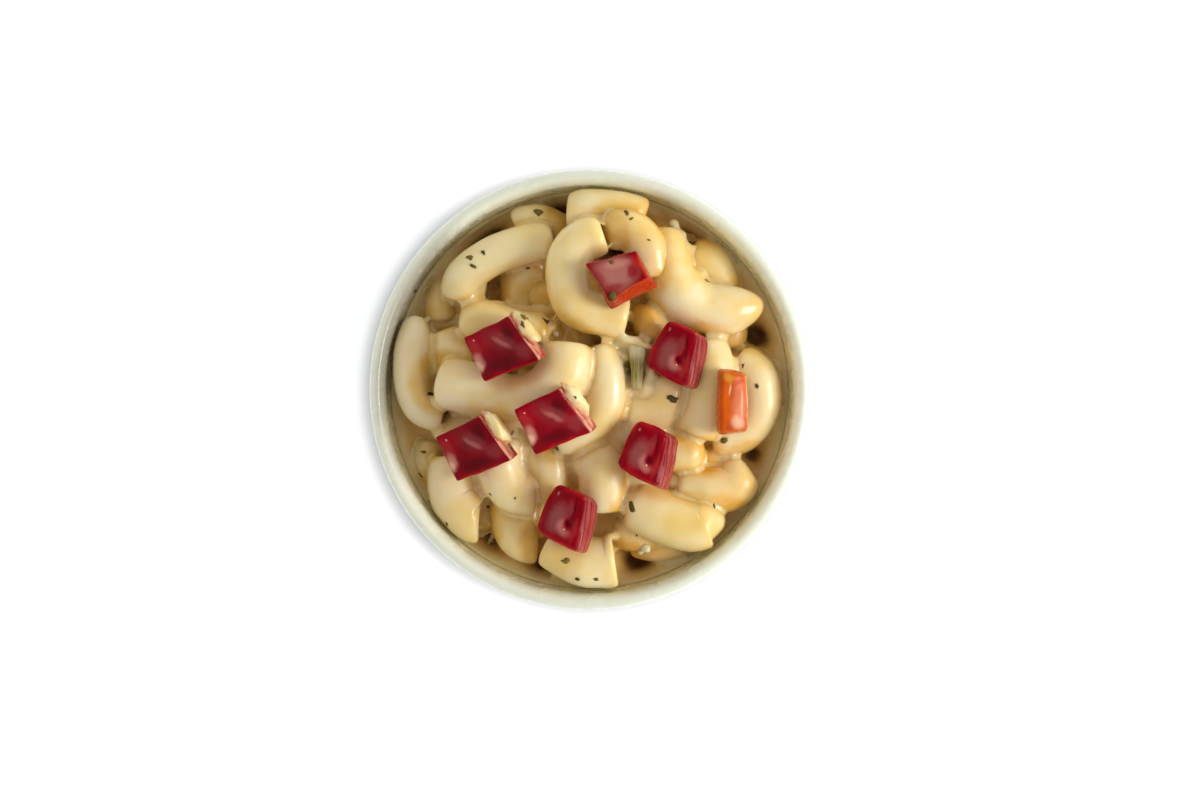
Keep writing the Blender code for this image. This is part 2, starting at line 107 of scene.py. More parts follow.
def new_finish(name):
    """A material with one Principled shader, its node tree and that shader."""
    material = bpy.data.materials.new(name)
    material.use_nodes = True
    tree = material.node_tree
    return material, tree, tree.nodes["Principled BSDF"]


def places(tree):
    """The place on the object, in metres."""
    return add_node(tree, "ShaderNodeTexCoord").outputs["Object"]


def blotches(tree, vector, scale, low=0.35, high=0.65, detail=3.0, roughness=0.55):
    """Soft noise from 0 to 1, with its contrast set by the two limits."""
    grain = add_node(
        tree,
        "ShaderNodeTexNoise",
        {"Vector": vector, "Scale": scale, "Detail": detail, "Roughness": roughness},
    )
    return ramp(tree, grain.outputs["Fac"], low, high)


def ramp(tree, value, low, high, to_low=0.0, to_high=1.0):
    """The value carried smoothly from one range to another, and held at its ends."""
    moved = add_node(
        tree,
        "ShaderNodeMapRange",
        {"Value": value, "From Min": low, "From Max": high, "To Min": to_low, "To Max": to_high},
        interpolation_type="SMOOTHSTEP",
    )
    return moved.outputs["Result"]


def blend_colors(tree, share, first, second):
    """The first colour where the share is 0, the second where it is 1."""
    mixed = add_node(tree, "ShaderNodeMix", data_type="RGBA")
    for socket, value in ((mixed.inputs[0], share), (mixed.inputs[6], first), (mixed.inputs[7], second)):
        if isinstance(value, bpy.types.NodeSocket):
            tree.links.new(value, socket)
        else:
            socket.default_value = value
    return mixed.outputs[2]


def combine(tree, operation, first, second=0.0):
    """One arithmetic step on two values, held between 0 and 1."""
    step = add_node(tree, "ShaderNodeMath", {0: first, 1: second}, operation=operation, use_clamp=True)
    return step.outputs["Value"]


def vector_step(tree, operation, first, second=None):
    """One step on vectors. Its node gives a vector, or a length or product as its value."""
    inputs = {0: first} if second is None else {0: first, 1: second}
    return add_node(tree, "ShaderNodeVectorMath", inputs, operation=operation)


def part_of(tree, vector, axis):
    """One of the three parts of a vector, named by its letter."""
    return add_node(tree, "ShaderNodeSeparateXYZ", {"Vector": vector}).outputs[axis]


def out_from_axis(tree, place):
    """How far a place lies from the bowl's axis, in metres."""
    level = vector_step(tree, "MULTIPLY", place, (1.0, 1.0, 0.0))
    return vector_step(tree, "LENGTH", level.outputs[0]).outputs["Value"]


def let_light_in(shader, weight, radius, scale):
    """Light that goes in and comes out near by: how much, how far each colour goes, and the scale."""
    shader.inputs["Subsurface Weight"].default_value = weight
    shader.inputs["Subsurface Radius"].default_value = radius
    shader.inputs["Subsurface Scale"].default_value = scale


def add_relief(tree, shader, layers):
    """Fine relief from several layers of noise: each is a vector, a scale and a depth in metres."""
    normal = None
    for vector, scale, depth in layers:
        grain = add_node(tree, "ShaderNodeTexNoise", {"Vector": vector, "Scale": scale, "Detail": 2.0})
        bump = add_node(tree, "ShaderNodeBump", {"Height": grain.outputs["Fac"], "Distance": depth})
        bump.inputs["Strength"].default_value = 1.0
        if normal:
            tree.links.new(normal, bump.inputs["Normal"])
        normal = bump.outputs["Normal"]
    tree.links.new(normal, shader.inputs["Normal"])


def mesh_values(tree, name):
    """A value or a vector that the mesh carries at its points."""
    return add_node(tree, "ShaderNodeAttribute", attribute_name=name)


# %% [markdown]
# ## The floor and the light
#
# The picture is of a dish on a white table, nearly pure white, with a short and weak shadow. The
# table top is given a painted glow, held back near the dish, so the soft grey edge left round the
# dish is painted shade. The light is soft. Most of it comes from the right and a little from below
# in the picture. Straight above the dish, where the camera hangs, it is darker: the flat, wet
# pepper skins mirror that dark patch and look deep red. A sky that is pale at its edge and dim at
# its top gives this without any object, and large soft lamps do the rest.

# %% Floor, sky and lamps
FLOOR_SIZE = 6.0
TABLE_GLOW = 0.56
GLOW_FROM = 0.0430
GLOW_FULL = 0.0470
TABLE_DIM = (0.86, 0.865, 0.895, 1.0)
TABLE_PALE = (0.89, 0.9, 0.925, 1.0)
SKY_EDGE = (0.98, 0.98, 0.96, 1.0)
SKY_TOP = (0.4, 0.4, 0.4, 1.0)
SKY_STRENGTH = 0.74
DIM_TOP_FROM = 0.7
DIM_TOP_TO = 0.95


def make_floor():
    """A wide white table top with a painted glow away from the dish, leaving a grey edge of painted shade."""
    half = FLOOR_SIZE / 2
    mesh = bpy.data.meshes.new("table_top")
    corners = [(-half, -half, 0.0), (half, -half, 0.0), (half, half, 0.0), (-half, half, 0.0)]
    mesh.from_pydata(corners, [], [(0, 1, 2, 3)])
    finish, tree, shader = new_finish("white_table")
    cloud = blotches(tree, places(tree), 6.0, 0.3, 0.7)
    color = blend_colors(tree, cloud, TABLE_DIM, TABLE_PALE)
    away = vector_step(tree, "LENGTH", places(tree)).outputs["Value"]
    tree.links.new(color, shader.inputs["Base Color"])
    tree.links.new(color, shader.inputs["Emission Color"])
    # Painted glow away from the dish; where it is held back near the dish, the grey is painted shade.
    glow = ramp(tree, away, GLOW_FROM, GLOW_FULL, 0.0, TABLE_GLOW)
    tree.links.new(glow, shader.inputs["Emission Strength"])
    shader.inputs["Roughness"].default_value = 0.8
    mesh.materials.append(finish)
    floor = bpy.data.objects.new("table_top", mesh)
    bpy.context.scene.collection.objects.link(floor)


def make_sky():
    """A soft sky that is pale at its edge and dim straight above."""
    world = bpy.data.worlds.new("studio")
    world.use_nodes = True
    tree = world.node_tree
    background = tree.nodes["Background"]
    direction = add_node(tree, "ShaderNodeTexCoord").outputs["Generated"]
    height = part_of(tree, direction, "Z")
    dim = ramp(tree, height, DIM_TOP_FROM, DIM_TOP_TO)
    tree.links.new(blend_colors(tree, dim, SKY_EDGE, SKY_TOP), background.inputs["Color"])
    background.inputs["Strength"].default_value = SKY_STRENGTH
    bpy.context.scene.world = world


def make_lamp(name, place, size, power, color):
    """A square soft lamp that faces the food."""
    data = bpy.data.lights.new(name, "AREA")
    data.shape = "SQUARE"
    data.size = size
    data.energy = power
    data.color = color
    lamp = bpy.data.objects.new(name, data)
    lamp.location = Vector(place)
    aim = Vector((0.0, 0.0, RIM_HEIGHT * MM)) - lamp.location
    lamp.rotation_euler = aim.to_track_quat("-Z", "Y").to_euler()
    bpy.context.scene.collection.objects.link(lamp)


make_floor()
make_sky()
make_lamp("key_right", (0.7, -0.06, 0.42), 0.36, 4.5, (1.0, 0.99, 0.96))
make_lamp("fill_left", (-0.6, 0.35, 0.5), 0.6, 0.3, (1.0, 0.96, 0.96))
bpy.context.scene.view_settings.view_transform = "Standard"
bpy.context.scene.view_settings.look = "None"

# %% [markdown]
# ## From points to a piece
#
# Every piece below ends as plain mesh data. One helper takes points in millimetres and faces,
# makes the object, shades it smooth, and lets it ride with the dish.


# %% Make a mesh piece
def make_piece(name, points, faces, finish, slot=None):
    """A smooth mesh object from points in millimetres, which rides on the dish."""
    mesh = bpy.data.meshes.new(name)
    mesh.from_pydata((np.asarray(points, float) * MM).tolist(), [], faces)
    mesh.polygons.foreach_set("use_smooth", [True] * len(mesh.polygons))
    mesh.materials.append(finish)
    mesh.update()
    piece = bpy.data.objects.new(name, mesh)
    bpy.context.scene.collection.objects.link(piece)
    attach(piece, "root")
    return piece


def keep_value(piece, name, values):
    """Store one value, or one vector, at each point of the mesh for its material to read."""
    values = np.asarray(values, np.float32)
    kind = "FLOAT_VECTOR" if values.ndim == 2 else "FLOAT"
    layer = piece.data.attributes.new(name, kind, "POINT")
    layer.data.foreach_set("vector" if values.ndim == 2 else "value", values.ravel())


def count_triangles(piece):
    """How many triangles the piece's mesh comes to."""
    return sum(len(face.vertices) - 2 for face in piece.data.polygons)


# %% [markdown]
# ## The bowl
#
# The bowl is turned on a wheel and glazed: a rounded lip, a wall that leans out a little, a curve
# into the floor, and a foot ring with a shallow hollow. A turned form is one profile swept round
# the axis, which a Screw modifier or a spin would do too. Here the profile is made of a few arcs,
# so the sizes of the plain solid can be repeated exactly and only the number of sides grows.

# %% The bowl's profile
RIM_RADIUS = 40.0
LIP_WIDTH = 2.5
WALL_SLOPE = 0.105
INNER_FLOOR = 5.0
INNER_CURVE_TOP = 19.0
INNER_INSET = 12.0
OUTER_CURVE_TOP = 17.0
OUTER_INSET = 12.5
FOOT_HEIGHT = 2.0
FOOT_RING_WIDTH = 2.6
FOOT_RECESS = 1.4
LIP_ROUND = 1.0
LIP_INNER_ROUND = 3.5
BOWL_SIDES = 180


def wall_radius(z, top_radius, floor_height, curve_top, inset):
    """Radius of a wall that leans out and curves in towards its floor."""
    radius = top_radius - WALL_SLOPE * (RIM_HEIGHT - z)
    if z >= curve_top:
        return radius
    depth = min(1.0, (curve_top - z) / (curve_top - floor_height))
    return radius - inset * (1.0 - math.sqrt(1.0 - depth * depth))


def inner_radius(z):
    """Radius of the bowl's inner face at a height."""
    return wall_radius(z, RIM_RADIUS - LIP_WIDTH, INNER_FLOOR, INNER_CURVE_TOP, INNER_INSET)


def outer_radius(z):
    """Radius of the bowl's outer face at a height."""
    return wall_radius(z, RIM_RADIUS, FOOT_HEIGHT, OUTER_CURVE_TOP, OUTER_INSET)


def arc(centre, radii, start, stop, steps):
    """Points on a part of an ellipse, with its angles in degrees."""
    points = []
    for angle in np.radians(np.linspace(start, stop, steps + 1)):
        points.append((centre[0] + radii[0] * math.cos(angle), centre[1] + radii[1] * math.sin(angle)))
    return points


def curved_wall(radius_at, low, top, steps):
    """Points up a wall's curve, closer together where it bends most."""
    points = []
    for share in np.linspace(0.0, 1.0, steps + 1):
        z = low + (top - low) * share**2
        points.append((radius_at(z), z))
    return points


def bowl_profile():
    """The bowl's section, from under the middle of its foot round the lip to its floor."""
    foot_radius = outer_radius(FOOT_HEIGHT)
    hollow = foot_radius - FOOT_RING_WIDTH
    ring_middle = 0.5 * (foot_radius + hollow)
    profile = [(0.0, FOOT_RECESS), (0.5 * hollow, FOOT_RECESS), (hollow - 0.9, FOOT_RECESS)]
    profile += arc((hollow - 0.9, FOOT_RECESS - 0.5), (0.6, 0.5), 90, 20, 4)[1:]
    profile += arc((ring_middle - 0.2, 0.45), (1.0, 0.45), 200, 270, 4)
    profile += arc((ring_middle + 0.3, 0.45), (1.0, 0.45), 270, 350, 4)
    profile += curved_wall(outer_radius, FOOT_HEIGHT, OUTER_CURVE_TOP, 18)
    profile += [(outer_radius(z), z) for z in (22.0, 27.0, 32.0, 37.0, 41.0)]
    middle = RIM_RADIUS - 0.5 * LIP_WIDTH
    inner_top = RIM_HEIGHT - LIP_INNER_ROUND
    profile += arc((middle, RIM_HEIGHT - LIP_ROUND), (0.5 * LIP_WIDTH, LIP_ROUND), 0, 90, 10)
    profile += arc((middle, inner_top), (middle - inner_radius(inner_top), LIP_INNER_ROUND), 90, 180, 14)[1:]
    profile += [(inner_radius(z), z) for z in (37.0, 33.0, 28.0, 23.0)]
    profile += curved_wall(inner_radius, INNER_FLOOR, INNER_CURVE_TOP, 14)[::-1]
    profile += [(14.0, INNER_FLOOR), (0.0, INNER_FLOOR)]
    return profile


# %% Turn a profile into a mesh
def turned(profile, sides):
    """Points and faces of a profile of radius and height turned round the axis."""
    rings = profile[1:-1]
    angles = np.linspace(0.0, 2.0 * math.pi, sides, endpoint=False)
    points = [(0.0, 0.0, profile[0][1])]
    for radius, z in rings:
        points += [(radius * math.cos(a), radius * math.sin(a), z) for a in angles]
    points.append((0.0, 0.0, profile[-1][1]))
    last = len(points) - 1
    faces = []
    for side in range(sides):
        after = (side + 1) % sides
        faces.append((0, 1 + after, 1 + side))
        for ring in range(len(rings) - 1):
            low = 1 + ring * sides
            faces.append((low + side, low + after, low + sides + after, low + sides + side))
        top = 1 + (len(rings) - 1) * sides
        faces.append((last, top + side, top + after))
    return points, faces


# %% [markdown]
# Glaze is a thin layer of glass on the clay: it mirrors softly, and a little light goes into it. A
# plain glossy white would look like plastic, so the finish has soft clouds, a coat and some
# subsurface light. The unglazed foot ring is a warmer grey. On the inner wall lies a thin film of
# dressing, whose yellow also stands for warm light bounced from the food: partly a real film,
# partly painted light. Its test follows the slope of the wall, so that the outside stays free of
# it. The inner lip carries painted shade on the left, as in the photograph. That painted shade goes
# by the distance from the axis alone, so it also falls on the outside, lower down on the same side,
# where nothing calls for it.

# %% The finish of the glaze
GLAZE_GREY = from_srgb(226, 229, 212)
GLAZE_WHITE = from_srgb(231, 233, 217)
BARE_CLAY = from_srgb(214, 205, 190)
FILM_AND_BOUNCE_LIGHT = from_srgb(250, 226, 160)
LIP_SHADE = from_srgb(166, 163, 148)
SHADED_SIDE = (-0.94, 0.34, 0.0)


def glazed_white():
    """White glaze, green-tinged, with a dressing film partly painted bounce light, and painted lip shade."""
    finish, tree, shader = new_finish("glazed_white")
    place = places(tree)
    clouds = blotches(tree, place, 45.0, 0.3, 0.7)
    color = blend_colors(tree, clouds, GLAZE_GREY, GLAZE_WHITE)
    height = part_of(tree, place, "Z")
    bare = ramp(tree, height, 0.0012, 0.0004)
    color = blend_colors(tree, bare, color, BARE_CLAY)
    reach = out_from_axis(tree, place)
    lean = combine(tree, "MULTIPLY", combine(tree, "SUBTRACT", RIM_HEIGHT * MM, height), WALL_SLOPE)
    upright = combine(tree, "ADD", reach, lean)
    high_up = ramp(tree, height, 0.022, 0.026)
    inside = combine(tree, "MULTIPLY", ramp(tree, upright, 0.0388, 0.0376), high_up)
    # The film near the food is partly dressing and partly painted warm bounce light.
    film = combine(tree, "MULTIPLY", ramp(tree, height, 0.042, 0.034), inside)
    film = combine(tree, "MULTIPLY", film, 0.6)
    color = blend_colors(tree, film, color, FILM_AND_BOUNCE_LIGHT)
    # Painted shade on the left inner lip, and by the same test on the outer wall below it.
    to_left = vector_step(tree, "DOT_PRODUCT", place, SHADED_SIDE).outputs["Value"]
    inner_lip = ramp(tree, reach, 0.0395, 0.0380)
    shaded = combine(tree, "MULTIPLY", ramp(tree, to_left, 0.031, 0.036), inner_lip)
    color = blend_colors(tree, combine(tree, "MULTIPLY", shaded, 0.8), color, LIP_SHADE)
    tree.links.new(color, shader.inputs["Base Color"])
    speckle = blotches(tree, place, 300.0, 0.3, 0.75, detail=1.0)
    tree.links.new(ramp(tree, speckle, 0.0, 1.0, 0.24, 0.3), shader.inputs["Roughness"])
    let_light_in(shader, 0.7, (1.0, 0.96, 0.86), 0.003)
    shader.inputs["Coat Weight"].default_value = 0.3
    shader.inputs["Coat Roughness"].default_value = 0.12
    add_relief(tree, shader, [(place, 60.0, 0.000008)])
    return finish


# %% Make the bowl
bowl = make_piece("glazed_bowl", *turned(bowl_profile(), BOWL_SIDES), glazed_white(), "white_glaze")
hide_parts("bowl")

# %% [markdown]
# ## The elbows of macaroni
#
# Each elbow is a bent tube of cooked dough. It could be a curve with a bevel, but a bevelled curve
# has no wall, and cooked elbows show their wall at the cut ends. So each is swept by hand: a smooth
# line through a few placed points, rings of points round it, and at each end a rounded lip that
# turns in to the hollow. The table gives each elbow its radius, its two ends and its line. An end
# is its width and the slant of its cut. They lie where the plain solid has them, and only the
# right end of the elbow at the bottom of the picture is cut more slanted here.

# %% Where each elbow lies
SQUARE = (1.0, 0.0)
ELBOWS = (
    (
        3.8,
        (1.0, -0.4),
        (0.8, 0.4),
        ((-3.8, 31.6, 40.5), (0.0, 33.0, 41.2), (5.0, 33.2, 41.2), (10.3, 32.6, 40.5)),
    ),
    (3.9, SQUARE, SQUARE, ((3.4, 29.2, 43.0), (7.4, 28.8, 44.0), (10.3, 25.6, 44.0), (10.6, 20.5, 43.5))),
    (
        4.0,
        (0.9, 0.1),
        (0.95, 0.0),
        ((2.6, 27.8, 46.5), (-1.8, 26.5, 46.5), (-4.0, 21.3, 46.5), (-1.9, 14.9, 46.0), (6.8, 12.9, 45.5)),
    ),
    (
        4.9,
        (0.8, 0.0),
        (0.3, 0.2),
        (
            (13.2, 29.0, 40.0),
            (13.6, 22.5, 41.5),
            (16.6, 17.2, 42.0),
            (22.0, 14.6, 41.0),
            (31.8, 15.0, 41.0),
        ),
    ),
    (4.3, SQUARE, SQUARE, ((18.8, 23.8, 36.0), (21.7, 22.9, 36.5), (23.2, 19.8, 36.5), (23.2, 17.0, 36.0))),
    (3.3, SQUARE, SQUARE, ((25.7, 13.0, 35.5), (25.8, 10.6, 35.5), (25.2, 8.0, 35.0))),
    (
        4.1,
        SQUARE,
        SQUARE,
        ((27.0, 4.9, 37.5), (30.4, 2.2, 38.5), (31.0, -2.4, 38.5), (28.4, -7.2, 38.0), (22.2, -8.8, 38.0)),
    ),
    (
        4.3,
        (0.9, 0.0),
        SQUARE,
        ((20.8, 8.8, 41.0), (22.2, 3.5, 41.5), (21.4, -2.5, 41.5), (19.4, -8.2, 40.5)),
    ),
    (3.0, (0.85, -0.5), SQUARE, ((10.6, 14.8, 41.0), (10.8, 12.0, 42.0), (11.8, 9.4, 41.0))),
    (4.6, SQUARE, SQUARE, ((14.0, 2.0, 39.5), (13.6, -1.8, 40.0), (11.4, -4.0, 40.0), (7.0, -5.0, 39.5))),
    (
        4.95,
        (0.95, 0.0),
        (0.9, 0.0),
        (
            (-27.2, 1.2, 42.0),
            (-21.0, 0.0, 43.5),
            (-14.5, -2.1, 45.0),
            (-8.4, -1.0, 46.0),
            (-4.6, 3.4, 46.0),
            (-3.9, 8.3, 45.5),
        ),
    ),
    (3.9, (1.0, 0.3), SQUARE, ((-25.6, 11.0, 38.0), (-25.4, 6.5, 38.5), (-24.5, 2.0, 38.0))),
    (
        3.6,
        SQUARE,
        (0.9, 0.0),
        (
            (-24.0, 16.6, 40.0),
            (-22.8, 20.6, 41.0),
            (-18.0, 24.2, 41.5),
            (-12.5, 26.4, 41.5),
            (-6.8, 27.4, 41.0),
        ),
    ),
    (
        3.9,
        (0.95, 0.0),
        SQUARE,
        ((-23.2, 13.0, 40.0), (-18.5, 12.4, 41.0), (-13.0, 10.6, 41.5), (-7.8, 10.4, 41.0)),
    ),
    (4.0, SQUARE, SQUARE, ((-12.2, 23.0, 35.5), (-12.4, 18.5, 36.5), (-12.4, 13.8, 36.0))),
    (3.4, SQUARE, SQUARE, ((-13.6, 30.2, 37.0), (-9.2, 30.6, 37.5), (-4.6, 28.6, 37.0))),
    (
        3.4,
        (0.5, 0.0),
        (1.28, 0.0),
        (
            (-31.6, 13.4, 39.0),
            (-32.5, 8.0, 40.2),
            (-32.4, 1.5, 40.8),
            (-30.8, -2.8, 40.4),
            (-27.3, -3.8, 39.4),
        ),
    ),
    (3.4, SQUARE, SQUARE, ((-25.5, 19.5, 36.0), (-27.0, 16.0, 36.0), (-27.0, 12.5, 36.0))),
    (3.3, SQUARE, SQUARE, ((-29.0, -9.3, 34.5), (-29.3, -13.0, 34.5), (-27.4, -16.6, 34.5))),
    (
        4.4,
        SQUARE,
        (0.92, -0.45),
        ((-25.0, -12.5, 37.5), (-25.3, -17.5, 38.0), (-23.8, -22.2, 38.5), (-20.2, -24.3, 38.5)),
    ),
    (
        3.9,
        SQUARE,
        (1.0, -0.35),
        ((-14.9, -20.5, 37.0), (-14.2, -24.6, 38.0), (-12.6, -27.4, 38.0), (-9.8, -28.5, 37.5)),
    ),
    (
        4.1,
        SQUARE,
        (1.0, -0.3),
        ((-15.8, -8.6, 40.5), (-16.6, -14.0, 41.5), (-14.2, -18.4, 41.0), (-10.4, -19.5, 40.0)),
    ),
    (3.7, SQUARE, SQUARE, ((-8.6, -9.4, 39.5), (-7.4, -14.5, 40.0), (-7.3, -20.5, 39.0))),
    (4.4, SQUARE, (0.95, 0.0), ((0.4, -11.4, 41.0), (2.2, -15.4, 42.0), (2.3, -22.0, 41.0))),
    (
        3.7,
        (0.9, 0.0),
        SQUARE,
        ((1.1, 7.8, 43.5), (2.9, 2.6, 44.0), (2.4, -3.2, 44.0), (-1.2, -7.2, 43.5), (-6.0, -8.8, 43.0)),
    ),
    (4.8, SQUARE, (1.12, 0.3), ((-7.4, -27.8, 39.6), (-1.6, -31.0, 40.6), (4.7, -31.6, 40.6))),
    (3.6, SQUARE, SQUARE, ((4.6, -25.2, 37.5), (8.4, -26.2, 38.0), (12.5, -25.8, 37.0))),
    (
        4.9,
        (0.9, 0.0),
        (0.35, 0.0),
        ((7.2, -20.8, 40.5), (12.0, -22.6, 41.0), (18.0, -24.6, 41.0), (25.4, -25.4, 40.0)),
    ),
    (3.3, SQUARE, SQUARE, ((8.0, -27.6, 35.5), (12.5, -28.4, 36.0), (17.2, -27.4, 35.5))),
    (
        4.5,
        SQUARE,
        (0.6, 0.35),
        ((16.2, -17.6, 38.5), (21.5, -18.4, 39.0), (26.0, -17.6, 38.5), (28.4, -13.6, 38.0)),
    ),
    (3.4, SQUARE, (0.55, 0.0), ((10.5, -12.0, 41.5), (15.0, -11.6, 41.5), (21.0, -11.4, 41.0))),
    (3.6, SQUARE, SQUARE, ((-27.5, -9.5, 37.0), (-24.0, -6.5, 37.5), (-19.5, -5.5, 37.5))),
    (3.5, SQUARE, SQUARE, ((17.5, -14.5, 36.0), (21.0, -13.0, 36.5), (25.0, -13.0, 36.0))),
    (3.4, SQUARE, SQUARE, ((-5.0, -28.0, 35.4), (0.0, -29.8, 35.8), (4.5, -29.8, 35.4))),
)
print(len(ELBOWS), "elbows")

# %% [markdown]
# A smooth line through the placed points comes from the Catmull-Rom formula, which passes through
# every point and needs no handles. Elbows by the wall are drawn in until the tube clears the glaze.

# %% Smooth lines for the elbows
CLEARANCE = 0.3


def smooth_line(points, steps):
    """Evenly spaced places on a smooth line through the points."""
    knots = np.array(points, float)
    knots = np.vstack([2 * knots[0] - knots[1], knots, 2 * knots[-1] - knots[-2]])
    fine = []
    for i in range(1, len(knots) - 2):
        a, b, c, d = knots[i - 1 : i + 3]
        for t in np.linspace(0.0, 1.0, 16, endpoint=False):
            bend = (2 * a - 5 * b + 4 * c - d) * t**2 + (3 * b - a - 3 * c + d) * t**3
            fine.append(0.5 * (2 * b + (c - a) * t + bend))
    fine.append(knots[-2])
    fine = np.array(fine)
    along = np.concatenate([[0.0], np.cumsum(np.linalg.norm(np.diff(fine, axis=0), axis=1))])
    wanted = np.linspace(0.0, along[-1], steps + 1)
    return np.stack([np.interp(wanted, along, fine[:, k]) for k in range(3)], axis=1)


def kept_inside(place, radius):
    """The place, drawn towards the axis until a tube of this radius clears the bowl's wall."""
    limit = inner_radius(min(place[2], RIM_HEIGHT) - 0.4 * radius) - radius - 1.3 * CLEARANCE
    reach = math.hypot(place[0], place[1])
    if place[2] > RIM_HEIGHT or reach <= limit:
        return place
    return np.array([place[0] * limit / reach, place[1] * limit / reach, place[2]])


# %% [markdown]
# Cooked dough is never even. Slow noise swells and thins each tube, a faster one dents it, and the
# weight of the heap flattens it a little. The rings run along the outside, round the lip, back
# through the hollow and round the other lip, so each elbow is one closed skin, and its wall can be
# seen where an end looks out of the heap.

# %% Sweep one elbow
FINE = (28, 34, 12)
COARSE = (18, 16, 4)
LIP_STEPS = 5
DOUGH_WALL = 1.15
END_TAPER = 0.3
END_ROUND = 0.55
END_ROUND_LENGTH = 1.9
FLATTENED = 0.96
SWELLING = 0.045
DENTS = 0.014
SWELLING_SIZE = 6.5
DENT_SIZE = 1.9
LEAST_RADIUS = 0.25


def tube_frames(line):
    """At each place of the line: the way forward, up and across the tube, and its left side."""
    frames = []
    up = np.array([0.0, 0.0, 1.0])
    for i in range(len(line)):
        forward = line[min(i + 1, len(line) - 1)] - line[max(i - 1, 0)]
        forward = forward / np.linalg.norm(forward)
        left = np.array([-forward[1], forward[0], 0.0])
        up = up - forward * up.dot(forward)
        up = up / np.linalg.norm(up)
        frames.append((forward, up, np.cross(forward, up), left))
    return frames


def end_effects(share, start_end, stop_end):
    """How wide the tube is, as a part of its radius, and how slanted, at a share of its length."""
    share = np.clip(share, 0.0, 1.0)
    start = np.maximum(0.0, 1.0 - share / END_TAPER) ** 2
    stop = np.maximum(0.0, 1.0 - (1.0 - share) / END_TAPER) ** 2
    width = 1.0 - start * (1.0 - start_end[0]) - stop * (1.0 - stop_end[0])
    return width, stop * stop_end[1] - start * start_end[1]


def elbow_line(row, steps):
    """The middle line of one elbow, drawn in where the bowl's wall is in the way."""
    radius, start_end, stop_end, knots = row
    widths, _ = end_effects(np.linspace(0.0, 1.0, steps + 1), start_end, stop_end)
    line = smooth_line(knots, steps)
    return np.array([kept_inside(place, radius * width) for place, width in zip(line, widths)])


def ring_of(line, frames, share, inset, row, number, sides):
    """One ring of points at a share of the elbow's length, drawn in by the inset."""
    radius, start_end, stop_end, _ = row
    held = min(max(share, 0.0), 1.0)
    spot = held * (len(line) - 1)
    i = min(int(spot), len(line) - 2)
    part = spot - i
    step = np.linalg.norm(line[1] - line[0])
    place = line[i] * (1 - part) + line[i + 1] * part
    forward, up, across, left = (a * (1 - part) + b * part for a, b in zip(frames[i], frames[i + 1]))
    place = place + forward * (share - held) * step * (len(line) - 1)
    width, slant = end_effects(share, start_end, stop_end)
    from_end = min(share, 1.0 - share) * step * (len(line) - 1)
    inset = inset + END_ROUND * max(0.0, 1.0 - from_end / END_ROUND_LENGTH) ** 2
    points = []
    for angle in np.linspace(0.0, 2.0 * math.pi, sides, endpoint=False):
        outward = math.cos(angle) * up * FLATTENED + math.sin(angle) * across
        feel = Vector(place + outward * radius)
        swell = SWELLING * noise.noise(feel / SWELLING_SIZE + Vector((number * 3.1, 0.0, 0.0)))
        dent = DENTS * noise.noise(feel / DENT_SIZE + Vector((0.0, number * 1.7, 0.0)))
        offset = max(LEAST_RADIUS, radius * width * (1.0 + swell + dent) - inset) * outward
        points.append(place + offset + forward * slant * offset.dot(left))
    return points


def sweep_elbow(number, row, detail):
    """Points and faces of one hollow elbow; the detail is its sides, outer steps and hollow steps."""
    sides, outer_steps, hollow_steps = detail
    line = elbow_line(row, outer_steps)
    frames = tube_frames(line)
    length = np.linalg.norm(np.diff(line, axis=0), axis=1).sum()
    wall = DOUGH_WALL * row[0] / 4.0
    edge = 0.5 * wall / length
    plan = [(share, 0.0) for share in np.linspace(edge, 1.0 - edge, outer_steps + 1)]
    for turn in np.linspace(0.0, math.pi, LIP_STEPS + 1)[1:-1]:
        plan.append((1.0 - edge + edge * math.sin(turn), 0.5 * wall * (1.0 - math.cos(turn))))
    plan += [(share, wall) for share in np.linspace(1.0 - edge, edge, hollow_steps + 1)]
    for turn in np.linspace(0.0, math.pi, LIP_STEPS + 1)[1:-1]:
        plan.append((edge - edge * math.sin(turn), 0.5 * wall * (1.0 + math.cos(turn))))
    points = []
    for share, inset in plan:
        points += ring_of(line, frames, share, inset, row, number, sides)
    faces = []
    for ring in range(len(plan)):
        here = ring * sides
        there = (ring + 1) % len(plan) * sides
        for side in range(sides):
            after = (side + 1) % sides
            faces.append((here + side, here + after, there + after, there + side))
    return points, faces


# %% [markdown]
# The dough is pale and slightly see-through, so light that goes in comes out a little further on
# and softens every edge. That is subsurface scattering. The colour runs in soft blotches from cream,
# where the dressing coats it, to straw. The warm ochre in the creases is painted shade, as warm as
# the light that bounces from dough to dough. Each point of the mesh knows how near the next elbow
# is, and the material uses that for the ochre. The elbows on the left are painted a greyer tan, and
# those on the right get amber blotches and amber creases, both as painted shade. A thin wet coat
# gives the soft shine.

# %% The finish of cooked macaroni
CREAM = from_srgb(254, 233, 184)
STRAW = from_srgb(250, 218, 138)
OCHRE = from_srgb(218, 170, 60)
SHADED_LEFT_TAN = from_srgb(236, 216, 176)
WARM_SHADE_AMBER = from_srgb(232, 170, 42)
SOAKED = from_srgb(230, 192, 92)


